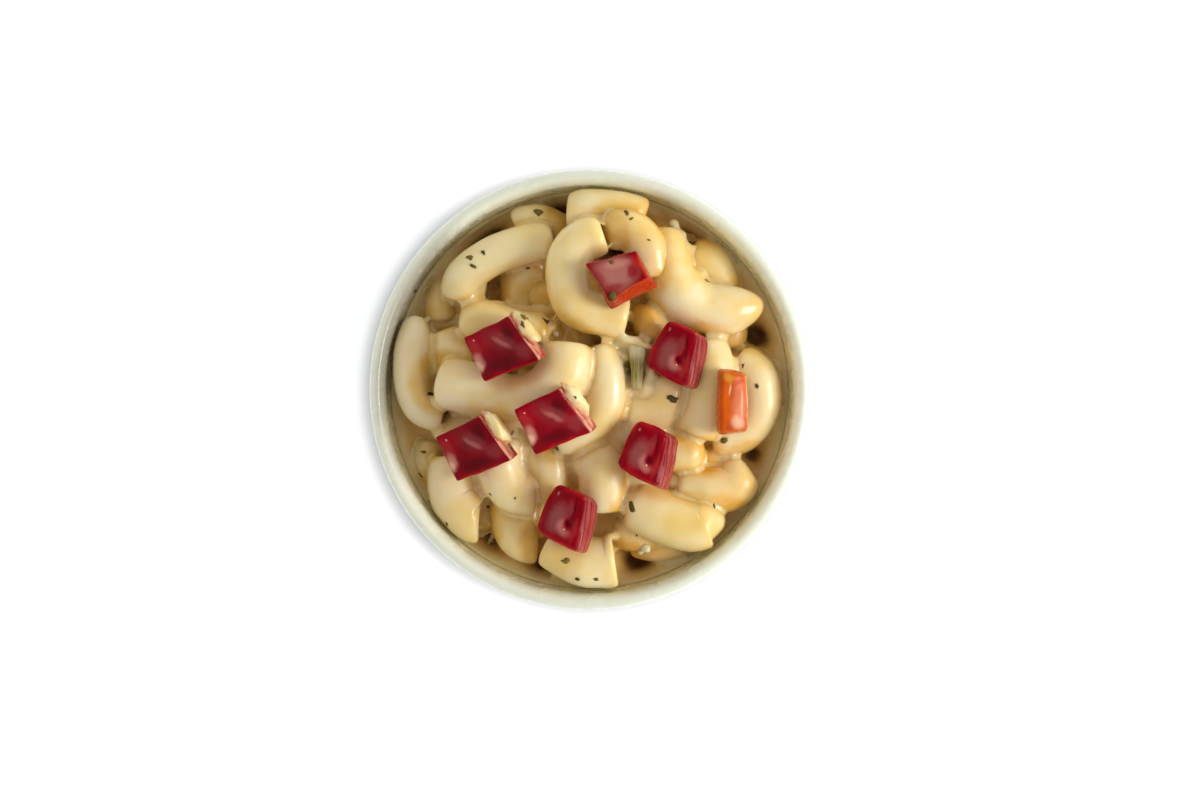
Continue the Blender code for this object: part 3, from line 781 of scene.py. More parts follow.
def cooked_macaroni():
    """Cooked dough with a wet film: cream to straw, with ochre painted shade in the creases."""
    finish, tree, shader = new_finish("cooked_macaroni")
    place = places(tree)
    clouds = blotches(tree, place, 110.0, 0.36, 0.66)
    color = blend_colors(tree, clouds, CREAM, STRAW)
    tone = mesh_values(tree, "tone").outputs["Fac"]
    color = blend_colors(tree, combine(tree, "MULTIPLY", tone, 0.45), color, STRAW)
    soaked = blotches(tree, place, 90.0, 0.52, 0.74, detail=1.0)
    color = blend_colors(tree, combine(tree, "MULTIPLY", soaked, 0.45), color, SOAKED)
    # Painted shade: the elbows on the left are turned a greyer tan.
    from_left = part_of(tree, place, "X")
    color = blend_colors(tree, ramp(tree, from_left, -0.022, -0.031, 0.0, 0.75), color, SHADED_LEFT_TAN)
    # Painted warm shade: amber blotches on the right side, and amber creases there.
    from_right = ramp(tree, from_left, 0.002, 0.012)
    amber_shade = combine(tree, "MULTIPLY", blotches(tree, place, 75.0, 0.4, 0.68, detail=1.0), from_right)
    color = blend_colors(tree, combine(tree, "MULTIPLY", amber_shade, 0.55), color, WARM_SHADE_AMBER)
    # Painted crease shade: ochre, amber on the right, where another elbow is near.
    crease = mesh_values(tree, "crease").outputs["Fac"]
    patchy = blotches(tree, place, 260.0, 0.2, 0.8)
    painted_crease_shade = combine(tree, "MULTIPLY", crease, ramp(tree, patchy, 0.0, 1.0, 0.55, 0.95))
    color = blend_colors(tree, painted_crease_shade, color, blend_colors(tree, from_right, OCHRE, WARM_SHADE_AMBER))
    tree.links.new(color, shader.inputs["Base Color"])
    shine = blotches(tree, place, 320.0, 0.25, 0.75)
    tree.links.new(ramp(tree, shine, 0.0, 1.0, 0.3, 0.46), shader.inputs["Roughness"])
    let_light_in(shader, 0.3, (1.0, 0.74, 0.34), 0.0012)
    wet = blotches(tree, place, 170.0, 0.42, 0.66)
    tree.links.new(ramp(tree, wet, 0.0, 1.0, 0.15, 0.8), shader.inputs["Coat Weight"])
    shader.inputs["Coat Roughness"].default_value = 0.12
    add_relief(tree, shader, [(place, 210.0, 0.00022), (place, 900.0, 0.00003)])
    return finish


# %% [markdown]
# Under the elbows of the table lie more, which show only as rounded forms at the bottom of the
# gaps. They are short, they are strewn with a fixed seed over the heap's low dome, and they keep
# away from the few deep gaps that the photograph shows as dark holes.

# %% Strew short elbows under the others
DEEP_GAPS = (
    (-17.3, 18.6, 2.6),
    (5.5, 25.0, 2.4),
    (-5.7, 32.8, 2.2),
    (-19.5, 27.5, 4.5),
    (-28.7, 1.9, 2.0),
    (-25.6, -3.2, 1.8),
    (-18.0, -26.0, 3.0),
    (-8.6, -32.0, 2.0),
    (9.0, -31.3, 2.8),
    (30.2, 9.8, 3.0),
    (30.0, -11.7, 1.8),
    (19.0, -14.6, 2.2),
    (4.5, 7.6, 1.6),
    (18.2, 28.8, 2.6),
)
STREWN_TRIES = 500
STREWN_APART = 5.2
HEAP_REACH = 30.0
GAP_MARGIN = 3.0
DOME_FOOT = 33.6
DOME_RISE = 4.6
DOME_REACH = 33.0
HALF_LENGTH = 4.6
SHORT_BEND = 1.5


def strewn_elbows():
    """Rows for short elbows half sunk in the dome, away from the deep gaps."""
    draw = random.Random(12)
    rows = []
    middles = []
    for _ in range(STREWN_TRIES):
        angle = draw.uniform(0.0, 2.0 * math.pi)
        reach = HEAP_REACH * math.sqrt(draw.random())
        x = reach * math.cos(angle)
        y = reach * math.sin(angle)
        near_gap = any(math.hypot(x - gx, y - gy) < size + GAP_MARGIN for gx, gy, size in DEEP_GAPS)
        if near_gap or any(math.hypot(x - mx, y - my) < STREWN_APART for mx, my in middles):
            continue
        middles.append((x, y))
        z = DOME_FOOT + DOME_RISE * (1.0 - (reach / DOME_REACH) ** 2) + draw.uniform(-0.5, 0.5)
        turn = draw.uniform(0.0, 2.0 * math.pi)
        along = np.array([math.cos(turn), math.sin(turn), draw.uniform(-0.12, 0.12)])
        aside = np.array([-math.sin(turn), math.cos(turn), 0.0])
        middle = np.array([x, y, z])
        knots = (middle - HALF_LENGTH * along, middle + SHORT_BEND * aside, middle + HALF_LENGTH * along)
        rows.append((draw.uniform(3.1, 3.6), SQUARE, SQUARE, knots))
    return rows


ALL_ELBOWS = list(ELBOWS) + strewn_elbows()
print(len(ALL_ELBOWS) - len(ELBOWS), "short elbows are strewn under the others")

# %% [markdown]
# Where two elbows touch, the real crease is warm and dark, and the finishes paint that shade in.
# The mesh has to know where that is, so beads are laid along each elbow, and each point measures
# how far the second nearest elbow is.

# %% Join the elbows in one piece
CREASE_REACH = 2.1
BEADS = 14
BLOCK = 4000


def elbow_beads(rows):
    """Beads along each elbow's middle line: their centres, their radii and whose they are."""
    centres = []
    radii = []
    owners = []
    for number, row in enumerate(rows):
        line = elbow_line(row, BEADS)
        centres.append(line)
        radii.append(np.full(len(line), row[0]))
        owners.append(np.full(len(line), number))
    return np.concatenate(centres), np.concatenate(radii), np.concatenate(owners)


def nearness(points, beads):
    """How near the second nearest elbow is: 1 where two touch, 0 from the reach onwards."""
    centres, radii, owners = beads
    firsts = np.searchsorted(owners, np.arange(owners[-1] + 1))
    gaps = np.empty(len(points))
    for first in range(0, len(points), BLOCK):
        block = points[first : first + BLOCK]
        distance = np.linalg.norm(block[:, None, :] - centres[None, :, :], axis=2) - radii[None, :]
        each = np.minimum.reduceat(distance, firsts, axis=1)
        gaps[first : first + BLOCK] = np.partition(each, 1, axis=1)[:, 1]
    share = np.clip(1.0 - gaps / CREASE_REACH, 0.0, 1.0)
    return share * share * (3.0 - 2.0 * share)


def join_elbows():
    """All the elbows as one mesh piece."""
    points = []
    faces = []
    tones = []
    draw = random.Random(7)
    for number, row in enumerate(ALL_ELBOWS):
        more_points, more_faces = sweep_elbow(number, row, FINE if number < len(ELBOWS) else COARSE)
        first = len(points)
        points += more_points
        faces += [tuple(first + i for i in face) for face in more_faces]
        tones += [draw.random()] * len(more_points)
    points = np.array(points)
    piece = make_piece("elbow_macaroni", points, faces, cooked_macaroni(), "cooked_macaroni")
    keep_value(piece, "tone", tones)
    keep_value(piece, "crease", nearness(points, elbow_beads(ALL_ELBOWS)))
    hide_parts("macaroni_heap")
    return piece


macaroni = join_elbows()
print("macaroni:", count_triangles(macaroni), "triangles")

# %% [markdown]
# ## The heap under the elbows
#
# Under everything the real bowl holds more of the same macaroni and dressing. Nobody sees it
# clearly, only ochre at the bottom of the gaps, so it is one low mound. A turned form with the
# plain solid's own profile is raised and dented by noise, and sinks where the deep gaps are.

# %% The mound that fills the bowl
CORE_SIDES = 140
CORE_RINGS = 60
CORE_TOP = (
    (36.64, 36.2),
    (36.1, 35.4),
    (35.2, 35.0),
    (31.0, 35.8),
    (25.0, 36.8),
    (16.0, 38.2),
    (8.0, 39.4),
    (0.0, 39.8),
)
WALL_GAP = 0.04
RIM_CALM = 2.5
CORE_LUMPS = 1.3
LUMP_SIZE = 4.0
LUMPS_FROM = 32.5
LUMPS_FADE = 1.5
GAP_DEPTH = 4.5
GAP_SPREAD = 1.7
DEEP_TAN = from_srgb(216, 168, 80)
DEEP_CREAM = from_srgb(242, 206, 126)
PAINTED_HOLE_SHADE = from_srgb(104, 66, 24)
PAINTED_WALL_LIGHT = from_srgb(248, 226, 164)


def smooth_bump(distance):
    """1 in the middle, 0 from a distance of 1 onwards, smooth in between."""
    return np.clip(1.0 - np.asarray(distance) ** 2, 0.0, None) ** 2


def core_profile():
    """From under the middle of the mound, up the bowl's wall and over its top."""
    low = INNER_FLOOR + CLEARANCE
    profile = [(0.0, low), (12.0, low), (inner_radius(low) - 1.5, low)]
    wall_heights = (6.5, 8.0, 10.0, 13.0, 17.0, 22.0, 28.0, 33.0, 35.8)
    profile += [(inner_radius(z) - WALL_GAP, z) for z in wall_heights]
    reaches, heights = np.array(CORE_TOP)[::-1].T
    for reach in np.linspace(reaches[-1], 0.0, CORE_RINGS):
        profile.append((reach, float(np.interp(reach, reaches, heights))))
    return profile


def deep_pasta():
    """The macaroni deep in the gaps: ochre darker than the elbows, as painted shade, with paler lumps."""
    finish, tree, shader = new_finish("deep_macaroni")
    place = places(tree)
    clouds = blotches(tree, place, 150.0, 0.3, 0.7)
    color = blend_colors(tree, clouds, DEEP_TAN, DEEP_CREAM)
    height = part_of(tree, place, "Z")
    # Painted shade: dark brown lowest down in the gaps.
    color = blend_colors(tree, ramp(tree, height, 0.0342, 0.0315), color, PAINTED_HOLE_SHADE)
    # Painted light: paler cream near the bowl's wall.
    painted_light_by_wall = ramp(tree, out_from_axis(tree, place), 0.0340, 0.0362)
    color = blend_colors(tree, painted_light_by_wall, color, PAINTED_WALL_LIGHT)
    tree.links.new(color, shader.inputs["Base Color"])
    tree.links.new(ramp(tree, clouds, 0.0, 1.0, 0.3, 0.5), shader.inputs["Roughness"])
    let_light_in(shader, 0.2, (1.0, 0.7, 0.3), 0.001)
    add_relief(tree, shader, [(place, 300.0, 0.00025)])
    return finish


# %% Make the mound
def make_core():
    """The lumpy mound, which sinks at the deep gaps and climbs the glaze a little."""
    points, faces = turned(core_profile(), CORE_SIDES)
    points = np.array(points)
    for i in np.flatnonzero(points[:, 2] >= LUMPS_FROM):
        x, y, z = points[i]
        reach = max(math.hypot(x, y), 1e-6)
        from_wall = min(1.0, max(0.0, (inner_radius(z) - WALL_GAP - reach) / RIM_CALM))
        calm = from_wall * min(1.0, (z - LUMPS_FROM) / LUMPS_FADE)
        points[i, 2] += CORE_LUMPS * calm * noise.noise(Vector((x, y, 0.0)) / LUMP_SIZE)
        for gx, gy, size in DEEP_GAPS:
            sunk = float(smooth_bump(math.hypot(x - gx, y - gy) / (GAP_SPREAD * size)))
            points[i, 2] -= GAP_DEPTH * calm * sunk
        points[i, :2] *= min(1.0, (inner_radius(points[i, 2]) - WALL_GAP) / reach)
    return make_piece("macaroni_below", points, faces, deep_pasta(), "cooked_macaroni")


core = make_core()
print("core:", count_triangles(core), "triangles")

# %% [markdown]
# ## The diced pepper
#
# Pepper is cut in dice: a flat or gently curved skin on top, and flesh at the sides. The table
# holds the corners of each top and foot, and the place of each die. How high and how tilted a die
# rests is read off the plain solid, so it lies exactly where the solid does. A cube with a bevel
# would give clean dice, but real ones have dimples, ridges and curved edges. So each die is a fine
# grid wrapped round a block, and the grid is pushed in and out where the real cut is.

# %% Shapes and places of the dice
PEPPER_THICKNESS = 4.6
SLANTED = (
    ((-6.5, 2.2), (1.6, 6.0), (7.3, -1.9), (-2.7, -5.9)),
    ((-6.2, 2.0), (2.6, 6.8), (8.6, -0.9), (-2.4, -5.6)),
)
CURVED = (
    ((-2.4, 6.1), (3.0, 3.6), (1.3, -5.9), (-6.2, -2.0)),
    ((-2.2, 5.9), (5.2, 2.6), (3.1, -6.7), (-6.0, -1.9)),
)
WEDGE = (
    ((-6.6, 2.5), (2.6, 5.0), (5.0, 0.0), (-2.0, -4.2)),
    ((-6.4, 2.4), (2.8, 5.0), (6.8, -1.4), (-2.0, -5.6)),
)
STRIP = (
    ((-2.4, 5.5), (2.0, 4.6), (2.5, -5.1), (-2.6, -5.8)),
    ((-3.0, 6.2), (2.5, 5.2), (2.8, -5.8), (-3.1, -6.1)),
)
DICE = (
    ("pepper_1", WEDGE, 5.8, 19.8),
    ("pepper_2", SLANTED, -16.1, 7.1),
    ("pepper_3", CURVED, 16.5, 6.3),
    ("pepper_4", SLANTED, -6.9, -5.8),
    ("pepper_5", SLANTED, -21.2, -10.8),
    ("pepper_6", CURVED, 11.2, -11.7),
    ("pepper_7", CURVED, -3.4, -23.2),
    ("pepper_8", STRIP, 26.0, -2.1),
)


# %% [markdown]
# A fine grid on the six faces of a block gives room for every dent. Its points are pressed on to
# a block with round edges, and a mapping from four corners then bends it to the cut shape.

# %% Wrap a grid round a block
GRID_STEPS = 22
EDGE_ROUND = {SLANTED: 0.45, CURVED: 0.9, WEDGE: 0.5, STRIP: 0.7}


def wrapped_grid(half_sizes, rounding):
    """A closed grid round a box with rounded edges: points from -1 to 1, and faces."""
    turns = np.linspace(-1.0, 1.0, GRID_STEPS + 1)
    spread = np.sin(0.5 * math.pi * turns) * 0.55 + turns * 0.45
    numbers = {}
    points = []
    faces = []

    def point_number(key):
        if key not in numbers:
            numbers[key] = len(points)
            points.append([spread[i] for i in key])
        return numbers[key]

    for axis in range(3):
        for side in (0, GRID_STEPS):
            for i in range(GRID_STEPS):
                for j in range(GRID_STEPS):
                    corners = []
                    for di, dj in ((0, 0), (1, 0), (1, 1), (0, 1)):
                        key = [0, 0, 0]
                        key[axis] = side
                        key[(axis + 1) % 3] = i + di
                        key[(axis + 2) % 3] = j + dj
                        corners.append(point_number(tuple(key)))
                    faces.append(tuple(corners if side else corners[::-1]))
    sizes = np.array(half_sizes)
    full = np.array(points) * sizes
    core = np.clip(full, rounding - sizes, sizes - rounding)
    away = full - core
    length = np.linalg.norm(away, axis=1)[:, None]
    rounded = core + rounding * away / np.maximum(length, 1e-9)
    full = np.where(length > 1e-9, rounded, full)
    return full / sizes, faces


def resting_place(name, x, y):
    """Height and two slopes of the plane on which a plain solid stands."""
    solid = nodes[name]
    foot = min(solid.data.polygons, key=lambda face: face.normal.z * face.area)
    normal = solid.matrix_world.to_3x3() @ foot.normal
    a = -normal.x / normal.z
    b = -normal.y / normal.z
    spot = solid.matrix_world @ foot.center / MM
    return spot.z - a * (spot.x - x) - b * (spot.y - y), a, b


def between_corners(corners, u, v):
    """The place in a four-cornered outline for u and v from -1 to 1."""
    c = np.array(corners)[:, None, :]
    u = u[:, None]
    v = v[:, None]
    top = c[0] * (1 - u) * (1 - v) + c[1] * (1 + u) * (1 - v)
    return 0.25 * (top + c[2] * (1 + u) * (1 + v) + c[3] * (1 - u) * (1 + v))


# %% [markdown]
# The dents are smooth hollows in u and v, the two directions over the top from -1 to 1. The curved
# dice have a long dimple with a raised edge, and ridges where the skin rolls over to one side. The
# wedge has a sagging back edge. All dice get a slow waviness, because a knife never cuts flat.


# %% Dents, ridges and wavy cuts
EDGE_BULGE = {SLANTED: -0.01, CURVED: 0.085, WEDGE: -0.02}
KNIFE_WAVE = 0.22
KNIFE_WAVE_SIZE = 3.0


def turned_distance(u, v, centre, radii, turn):
    """Distance from a centre, measured in two radii whose axes are turned."""
    du = u - centre[0]
    dv = v - centre[1]
    along = (du * math.cos(turn) + dv * math.sin(turn)) / radii[0]
    across = (dv * math.cos(turn) - du * math.sin(turn)) / radii[1]
    return np.hypot(along, across)


def skin_relief(shape, u, v):
    """How far the top skin stands up or lies in, in millimetres."""
    if shape is CURVED:
        groove = smooth_bump(turned_distance(u, v, (0.45, -0.2), (0.7, 0.12), 1.45))
        dimple = smooth_bump(turned_distance(u, v, (0.28, 0.22), (0.36, 0.32), 0.2))
        rim = smooth_bump(turned_distance(u, v, (0.14, 0.38), (0.55, 0.5), 0.2))
        ridges = np.sin(24.0 * u + 2.6 * np.sin(2.0 * v)) * np.clip((u - 0.4) / 0.3, 0.0, 1.0)
        dome = 0.5 * (1.0 - 0.7 * u * u) * (1.0 - 0.5 * v * v)
        return dome - 0.2 * groove - 0.5 * dimple + 0.2 * rim + 0.07 * ridges
    if shape is SLANTED:
        fold = smooth_bump(turned_distance(u, v, (0.15, -0.15), (0.75, 0.16), 1.07))
        hollow = smooth_bump(turned_distance(u, v, (-0.05, 0.2), (0.6, 0.35), 1.07))
        return 0.16 * (1.0 - u * u) * (1.0 - v * v) + 0.14 * fold - 0.16 * hollow
    if shape is WEDGE:
        return -0.35 * (1.0 - u * u) * (0.6 - 0.4 * v)
    return 0.25 * (1.0 - u * u) - 0.04 * smooth_bump(np.abs(u + 0.2) / 0.3) + 0.07 * np.sin(5.0 * v + 3.0 * u)


def make_die(name, shape, x, y, thickness, rounding, finish, slot, piece_name):
    """A cut die at the place of the plain solid, with the cut's own coordinates at each point."""
    height, a, b = resting_place(name, x, y)
    top, foot = shape
    spans = np.array(top).max(axis=0) - np.array(top).min(axis=0)
    cut, faces = wrapped_grid((0.4 * spans[0], 0.4 * spans[1], 0.5 * thickness), rounding)
    u, v, w = cut.T
    share = (0.5 * (w + 1.0))[:, None]
    bulge = 1.0 + EDGE_BULGE.get(shape, 0.0) * ((1.0 - v * v) * u**4 + (1.0 - u * u) * v**4)
    flat = between_corners(foot, u, v) * (1.0 - share) + between_corners(top, u, v) * share
    flat *= bulge[:, None]
    lean = np.array([-a, -b, 1.0]) / math.sqrt(1.0 + a * a + b * b)
    level = a * flat[:, 0] + b * flat[:, 1] + share[:, 0] * thickness
    relief = skin_relief(shape, u, v) * np.clip((w + 0.2) / 1.2, 0.0, 1.0)
    points = np.column_stack([flat, level]) + lean * relief[:, None]
    points += np.array([x, y, height])
    wave = [noise.noise(Vector(point) / KNIFE_WAVE_SIZE) for point in points]
    inward = np.column_stack([flat, np.zeros(len(flat))]) / (np.linalg.norm(flat, axis=1)[:, None] + 1e-6)
    near_edge = np.abs(np.column_stack([u, v])).max(axis=1) ** 6
    points += inward * (KNIFE_WAVE * np.array(wave) * near_edge)[:, None]
    piece = make_piece(piece_name, points, faces, finish, slot)
    keep_value(piece, "cut", cut)
    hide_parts(name)
    return piece


# %% [markdown]
# Pepper skin is deep red, smooth and very glossy. Its cut edges are brighter, because light comes
# through the flesh there, and thin dressing leaves a pale haze on it. The finish paints that in the
# die's own coordinates: a bright line along the edges, one side with streaks, and soft spots from a
# short table, each with a colour, a strength, a centre, two radii and a turn. The mauve spots are
# painted reflection, and the pink, grey and cream spots are partly dressing haze and partly painted
# reflection and painted highlights. On the curved dice the dark dimple and groove are painted
# shade, and the pink streaks on the rolled side are painted reflection.

# %% Paint spots in the die's own coordinates
CRIMSON = from_srgb(140, 0, 20)
DEEP_CRIMSON_AND_SHADE = from_srgb(92, 0, 10)
LIT_CRIMSON = from_srgb(156, 0, 24)
BRIGHT_RED = from_srgb(192, 22, 26)
RED_BLUSH = from_srgb(190, 62, 56)
PINK_FILM_AND_REFLECTION = from_srgb(210, 138, 124)
MAUVE_REFLECTION = from_srgb(152, 78, 76)
GREY_FILM_AND_REFLECTION = from_srgb(176, 112, 100)
CREAM_FILM_AND_HIGHLIGHT = from_srgb(244, 204, 166)
ORANGE_RED = from_srgb(196, 66, 24)
ORANGE = from_srgb(212, 92, 20)
BRIGHT_ORANGE = from_srgb(216, 92, 12)
SALMON = from_srgb(218, 122, 82)

# Slanted dice: the mauve spots and the pink streak along the fold are painted reflection, the small cream dot
# a painted glint.
SLANTED_SPOTS = (
    (LIT_CRIMSON, 0.8, (-0.6, -0.6), (0.6, 0.5), 0.6),
    (MAUVE_REFLECTION, 0.16, (0.1, -0.35), (0.8, 0.5), 1.07),
    (MAUVE_REFLECTION, 0.3, (0.7, 0.45), (0.35, 0.4), 0.6),
    (DEEP_CRIMSON_AND_SHADE, 0.9, (0.6, -0.45), (0.3, 0.5), 0.3),
    (DEEP_CRIMSON_AND_SHADE, 0.8, (-0.1, 0.6), (0.7, 0.3), 0.1),
    (MAUVE_REFLECTION, 0.3, (0.3, -0.2), (0.6, 0.3), 1.07),
    (PINK_FILM_AND_REFLECTION, 0.3, (0.18, -0.18), (0.5, 0.13), 1.07),
    (RED_BLUSH, 0.35, (-0.8, -0.3), (0.3, 0.6), 0.0),
    (PINK_FILM_AND_REFLECTION, 0.75, (-0.86, 0.16), (0.26, 0.42), 0.2),
    (CREAM_FILM_AND_HIGHLIGHT, 0.5, (-0.93, 0.36), (0.16, 0.3), 0.1),
    (BRIGHT_RED, 0.4, (-0.2, 0.98), (1.0, 0.12), 0.0),
    (CREAM_FILM_AND_HIGHLIGHT, 0.8, (-0.67, -0.7), (0.04, 0.04), 0.0),
)
# Curved dice: the big mauve haze is painted reflection, the dark dimple and groove are painted shade, and the
# pink rim and cream dot by the dimple are painted highlights.
CURVED_SPOTS = (
    (MAUVE_REFLECTION, 0.9, (-0.3, 0.18), (0.5, 0.75), 0.12),
    (MAUVE_REFLECTION, 0.4, (0.15, -0.2), (0.3, 0.6), 0.2),
    (RED_BLUSH, 0.4, (0.62, 0.35), (0.2, 0.6), 0.1),
    (DEEP_CRIMSON_AND_SHADE, 0.9, (0.5, -0.35), (0.6, 0.08), 1.35),
    (PINK_FILM_AND_REFLECTION, 0.6, (0.12, 0.42), (0.42, 0.34), 0.5),
    (CRIMSON, 1.0, (0.3, 0.24), (0.32, 0.3), 0.2),
    (DEEP_CRIMSON_AND_SHADE, 1.0, (0.28, 0.2), (0.2, 0.18), 0.2),
    (CRIMSON, 0.9, (0.42, -0.06), (0.34, 0.1), 1.9),
    (PINK_FILM_AND_REFLECTION, 0.5, (-0.66, -0.7), (0.08, 0.08), 0.0),
    (LIT_CRIMSON, 0.9, (0.0, 0.98), (1.0, 0.26), 0.0),
    (CREAM_FILM_AND_HIGHLIGHT, 0.9, (0.22, 0.44), (0.04, 0.04), 0.0),
)
# Wedge: the grey haze over the top is partly dressing haze and partly painted reflection.
WEDGE_SPOTS = (
    (GREY_FILM_AND_REFLECTION, 0.85, (-0.1, -0.1), (1.0, 1.15), 0.0),
    (PINK_FILM_AND_REFLECTION, 0.45, (0.1, -0.55), (0.6, 0.3), 0.2),
    (CRIMSON, 0.8, (0.5, 0.15), (0.3, 0.5), 0.3),
    (CRIMSON, 0.6, (-0.5, 0.5), (0.45, 0.24), 0.2),
    (CRIMSON, 0.4, (-0.85, -0.2), (0.2, 0.5), 0.0),
    (BRIGHT_RED, 0.5, (0.75, -0.3), (0.2, 0.6), 0.0),
    (ORANGE_RED, 0.8, (1.0, 0.2), (0.18, 1.2), 0.0),
    (ORANGE_RED, 0.8, (0.2, 1.0), (1.3, 0.16), 0.0),
)
# Strip: the cream spots are painted highlights.
STRIP_SPOTS = (
    (SALMON, 0.95, (0.4, 0.2), (0.7, 1.2), 0.1),
    (CREAM_FILM_AND_HIGHLIGHT, 0.5, (0.25, 0.72), (0.6, 0.3), 0.2),
    (CREAM_FILM_AND_HIGHLIGHT, 0.35, (0.62, 0.1), (0.12, 0.7), 0.05),
    (BRIGHT_ORANGE, 0.95, (-0.8, 0.15), (0.5, 1.2), 0.2),
    (ORANGE_RED, 0.4, (-0.9, 0.45), (0.2, 0.5), 0.1),
    (CREAM_FILM_AND_HIGHLIGHT, 0.45, (-0.28, -0.45), (0.1, 0.26), 0.3),
    (OCHRE, 0.5, (-0.45, -0.85), (0.6, 0.2), 0.1),
    (ORANGE_RED, 0.85, (0.45, -0.72), (0.5, 0.14), -0.3),
)


# %% The finish of pepper
RAGGED = 0.22


def spot(tree, cut, centre, radii, turn):
    """1 at the middle of a turned oval on the die's top, falling softly to 0 at its edge."""
    inside = add_node(
        tree,
        "ShaderNodeMapping",
        {
            "Vector": cut,
            "Location": (*centre, 0.0),
            "Rotation": (0.0, 0.0, turn),
            "Scale": (*radii, 1000.0),
        },
        vector_type="TEXTURE",
    )
    distance = vector_step(tree, "LENGTH", inside.outputs[0])
    return ramp(tree, distance.outputs["Value"], 1.15, 0.35)


def pepper_finish(name, skin, edge, side_colors, side_grain, spots, side_from=0.9):
    """Glossy skin with a thin bright edge, soft spots, among them painted reflection, highlights and shade,
    and one side in blotches or streaks.
    """
    finish, tree, shader = new_finish(name)
    place = places(tree)
    cut = mesh_values(tree, "cut").outputs["Vector"]
    ripple = add_node(tree, "ShaderNodeTexNoise", {"Vector": place, "Scale": 420.0, "Detail": 2.0})
    shift = vector_step(tree, "SUBTRACT", ripple.outputs["Color"], (0.5, 0.5, 0.5))
    small = vector_step(tree, "SCALE", shift.outputs[0])
    small.inputs["Scale"].default_value = RAGGED
    cut_there = vector_step(tree, "ADD", cut, small.outputs[0]).outputs[0]
    clouds = blotches(tree, place, 160.0, 0.3, 0.7)
    color = blend_colors(tree, combine(tree, "MULTIPLY", clouds, 0.5), skin, DEEP_CRIMSON_AND_SHADE)
    for spot_color, strength, centre, radii, turn in spots:
        share = spot(tree, cut_there, centre, radii, turn)
        color = blend_colors(tree, combine(tree, "MULTIPLY", share, strength), color, spot_color)
    level = ramp(tree, part_of(tree, cut, "Z"), 0.985, 0.9)
    broken = ramp(tree, blotches(tree, place, 300.0, 0.3, 0.7), 0.0, 1.0, 0.1, 0.75)
    color = blend_colors(tree, combine(tree, "MULTIPLY", level, broken), color, edge)
    mottled = combine(tree, "MULTIPLY", blotches(tree, place, 800.0, 0.48, 0.68), 0.45)
    color = blend_colors(tree, combine(tree, "MULTIPLY", level, mottled), color, skin)
    stretched = vector_step(tree, "MULTIPLY", cut, side_grain)
    streaks = blotches(tree, stretched.outputs[0], 1.3, 0.36, 0.64)
    side_color = blend_colors(tree, streaks, *side_colors)
    ragged = part_of(tree, cut_there, "X")
    on_side = combine(tree, "MULTIPLY", ramp(tree, ragged, side_from, side_from + 0.12), level)
    color = blend_colors(tree, on_side, color, side_color)
    tree.links.new(color, shader.inputs["Base Color"])
    shine = blotches(tree, place, 500.0, 0.3, 0.7)
    tree.links.new(ramp(tree, shine, 0.0, 1.0, 0.16, 0.3), shader.inputs["Roughness"])
    shader.inputs["Specular IOR Level"].default_value = 0.06
    let_light_in(shader, 0.12, (1.0, 0.15, 0.1), 0.0012)
    shader.inputs["Coat Weight"].default_value = 0.07
    shader.inputs["Coat Roughness"].default_value = 0.06
    add_relief(tree, shader, [(place, 330.0, 0.00008), (place, 1300.0, 0.000015)])
    return finish


# %% Cut the dice
BLOTCHES = (1.0, 1.9, 1.1)
STREAKS = (3.0, 0.45, 5.0)
SMEARED_FLESH = (from_srgb(232, 170, 140), from_srgb(178, 40, 42))
RED_FLESH = (from_srgb(176, 60, 34), from_srgb(140, 26, 26))
# The pink streaks of the curved dice's rolled side are painted reflection of the lamp on the right.
ROLLED_SKIN_AND_REFLECTION = (from_srgb(128, 16, 26), from_srgb(176, 84, 78))
PALE_FLESH = (SALMON, CREAM_FILM_AND_HIGHLIGHT)
FINISHES = {
    SLANTED: pepper_finish("slanted_pepper", CRIMSON, BRIGHT_RED, SMEARED_FLESH, BLOTCHES, SLANTED_SPOTS),
    CURVED: pepper_finish("curved_pepper", LIT_CRIMSON, BRIGHT_RED, ROLLED_SKIN_AND_REFLECTION, STREAKS, CURVED_SPOTS, 0.7),
    WEDGE: pepper_finish("wedge_pepper", CRIMSON, ORANGE_RED, RED_FLESH, BLOTCHES, WEDGE_SPOTS),
    STRIP: pepper_finish("strip_pepper", ORANGE, ORANGE, PALE_FLESH, BLOTCHES, STRIP_SPOTS),
}
dice = []
for name, shape, x, y in DICE:
    slot = "orange_pepper" if shape is STRIP else "red_pepper"
    die = make_die(
        name, shape, x, y, PEPPER_THICKNESS, EDGE_ROUND[shape], FINISHES[shape], slot, f"diced_{name}"
    )
    dice.append(die)
print("dice:", [(die.name, count_triangles(die)) for die in dice])

# %% [markdown]
# ## The bit of celery
#
# A pale green sliver of celery stands between the elbows. Celery is built of fine strings that run
# its length, with a whitish rib along its back, and light goes a good way into it. It is cut like
# the dice, and the strings are narrow ridges across its width.

# %% Cut the celery
CELERY = (
    ((-1.3, 4.6), (1.9, 3.3), (1.0, -4.2), (-0.6, -4.3)),
    ((-1.4, 4.7), (2.0, 3.3), (1.1, -4.3), (-0.7, -4.4)),
)
CELERY_PLACE = (8.3, 4.1)
CELERY_THICKNESS = 4.4
CELERY_ROUND = 0.6
STRING_GRAIN = (9.0, 0.7, 0.7)
DARK_STRING = from_srgb(124, 106, 34)
PALE_STRING = from_srgb(186, 168, 92)
WHITE_RIB = from_srgb(232, 220, 176)
PALE_FOOT = from_srgb(214, 196, 142)


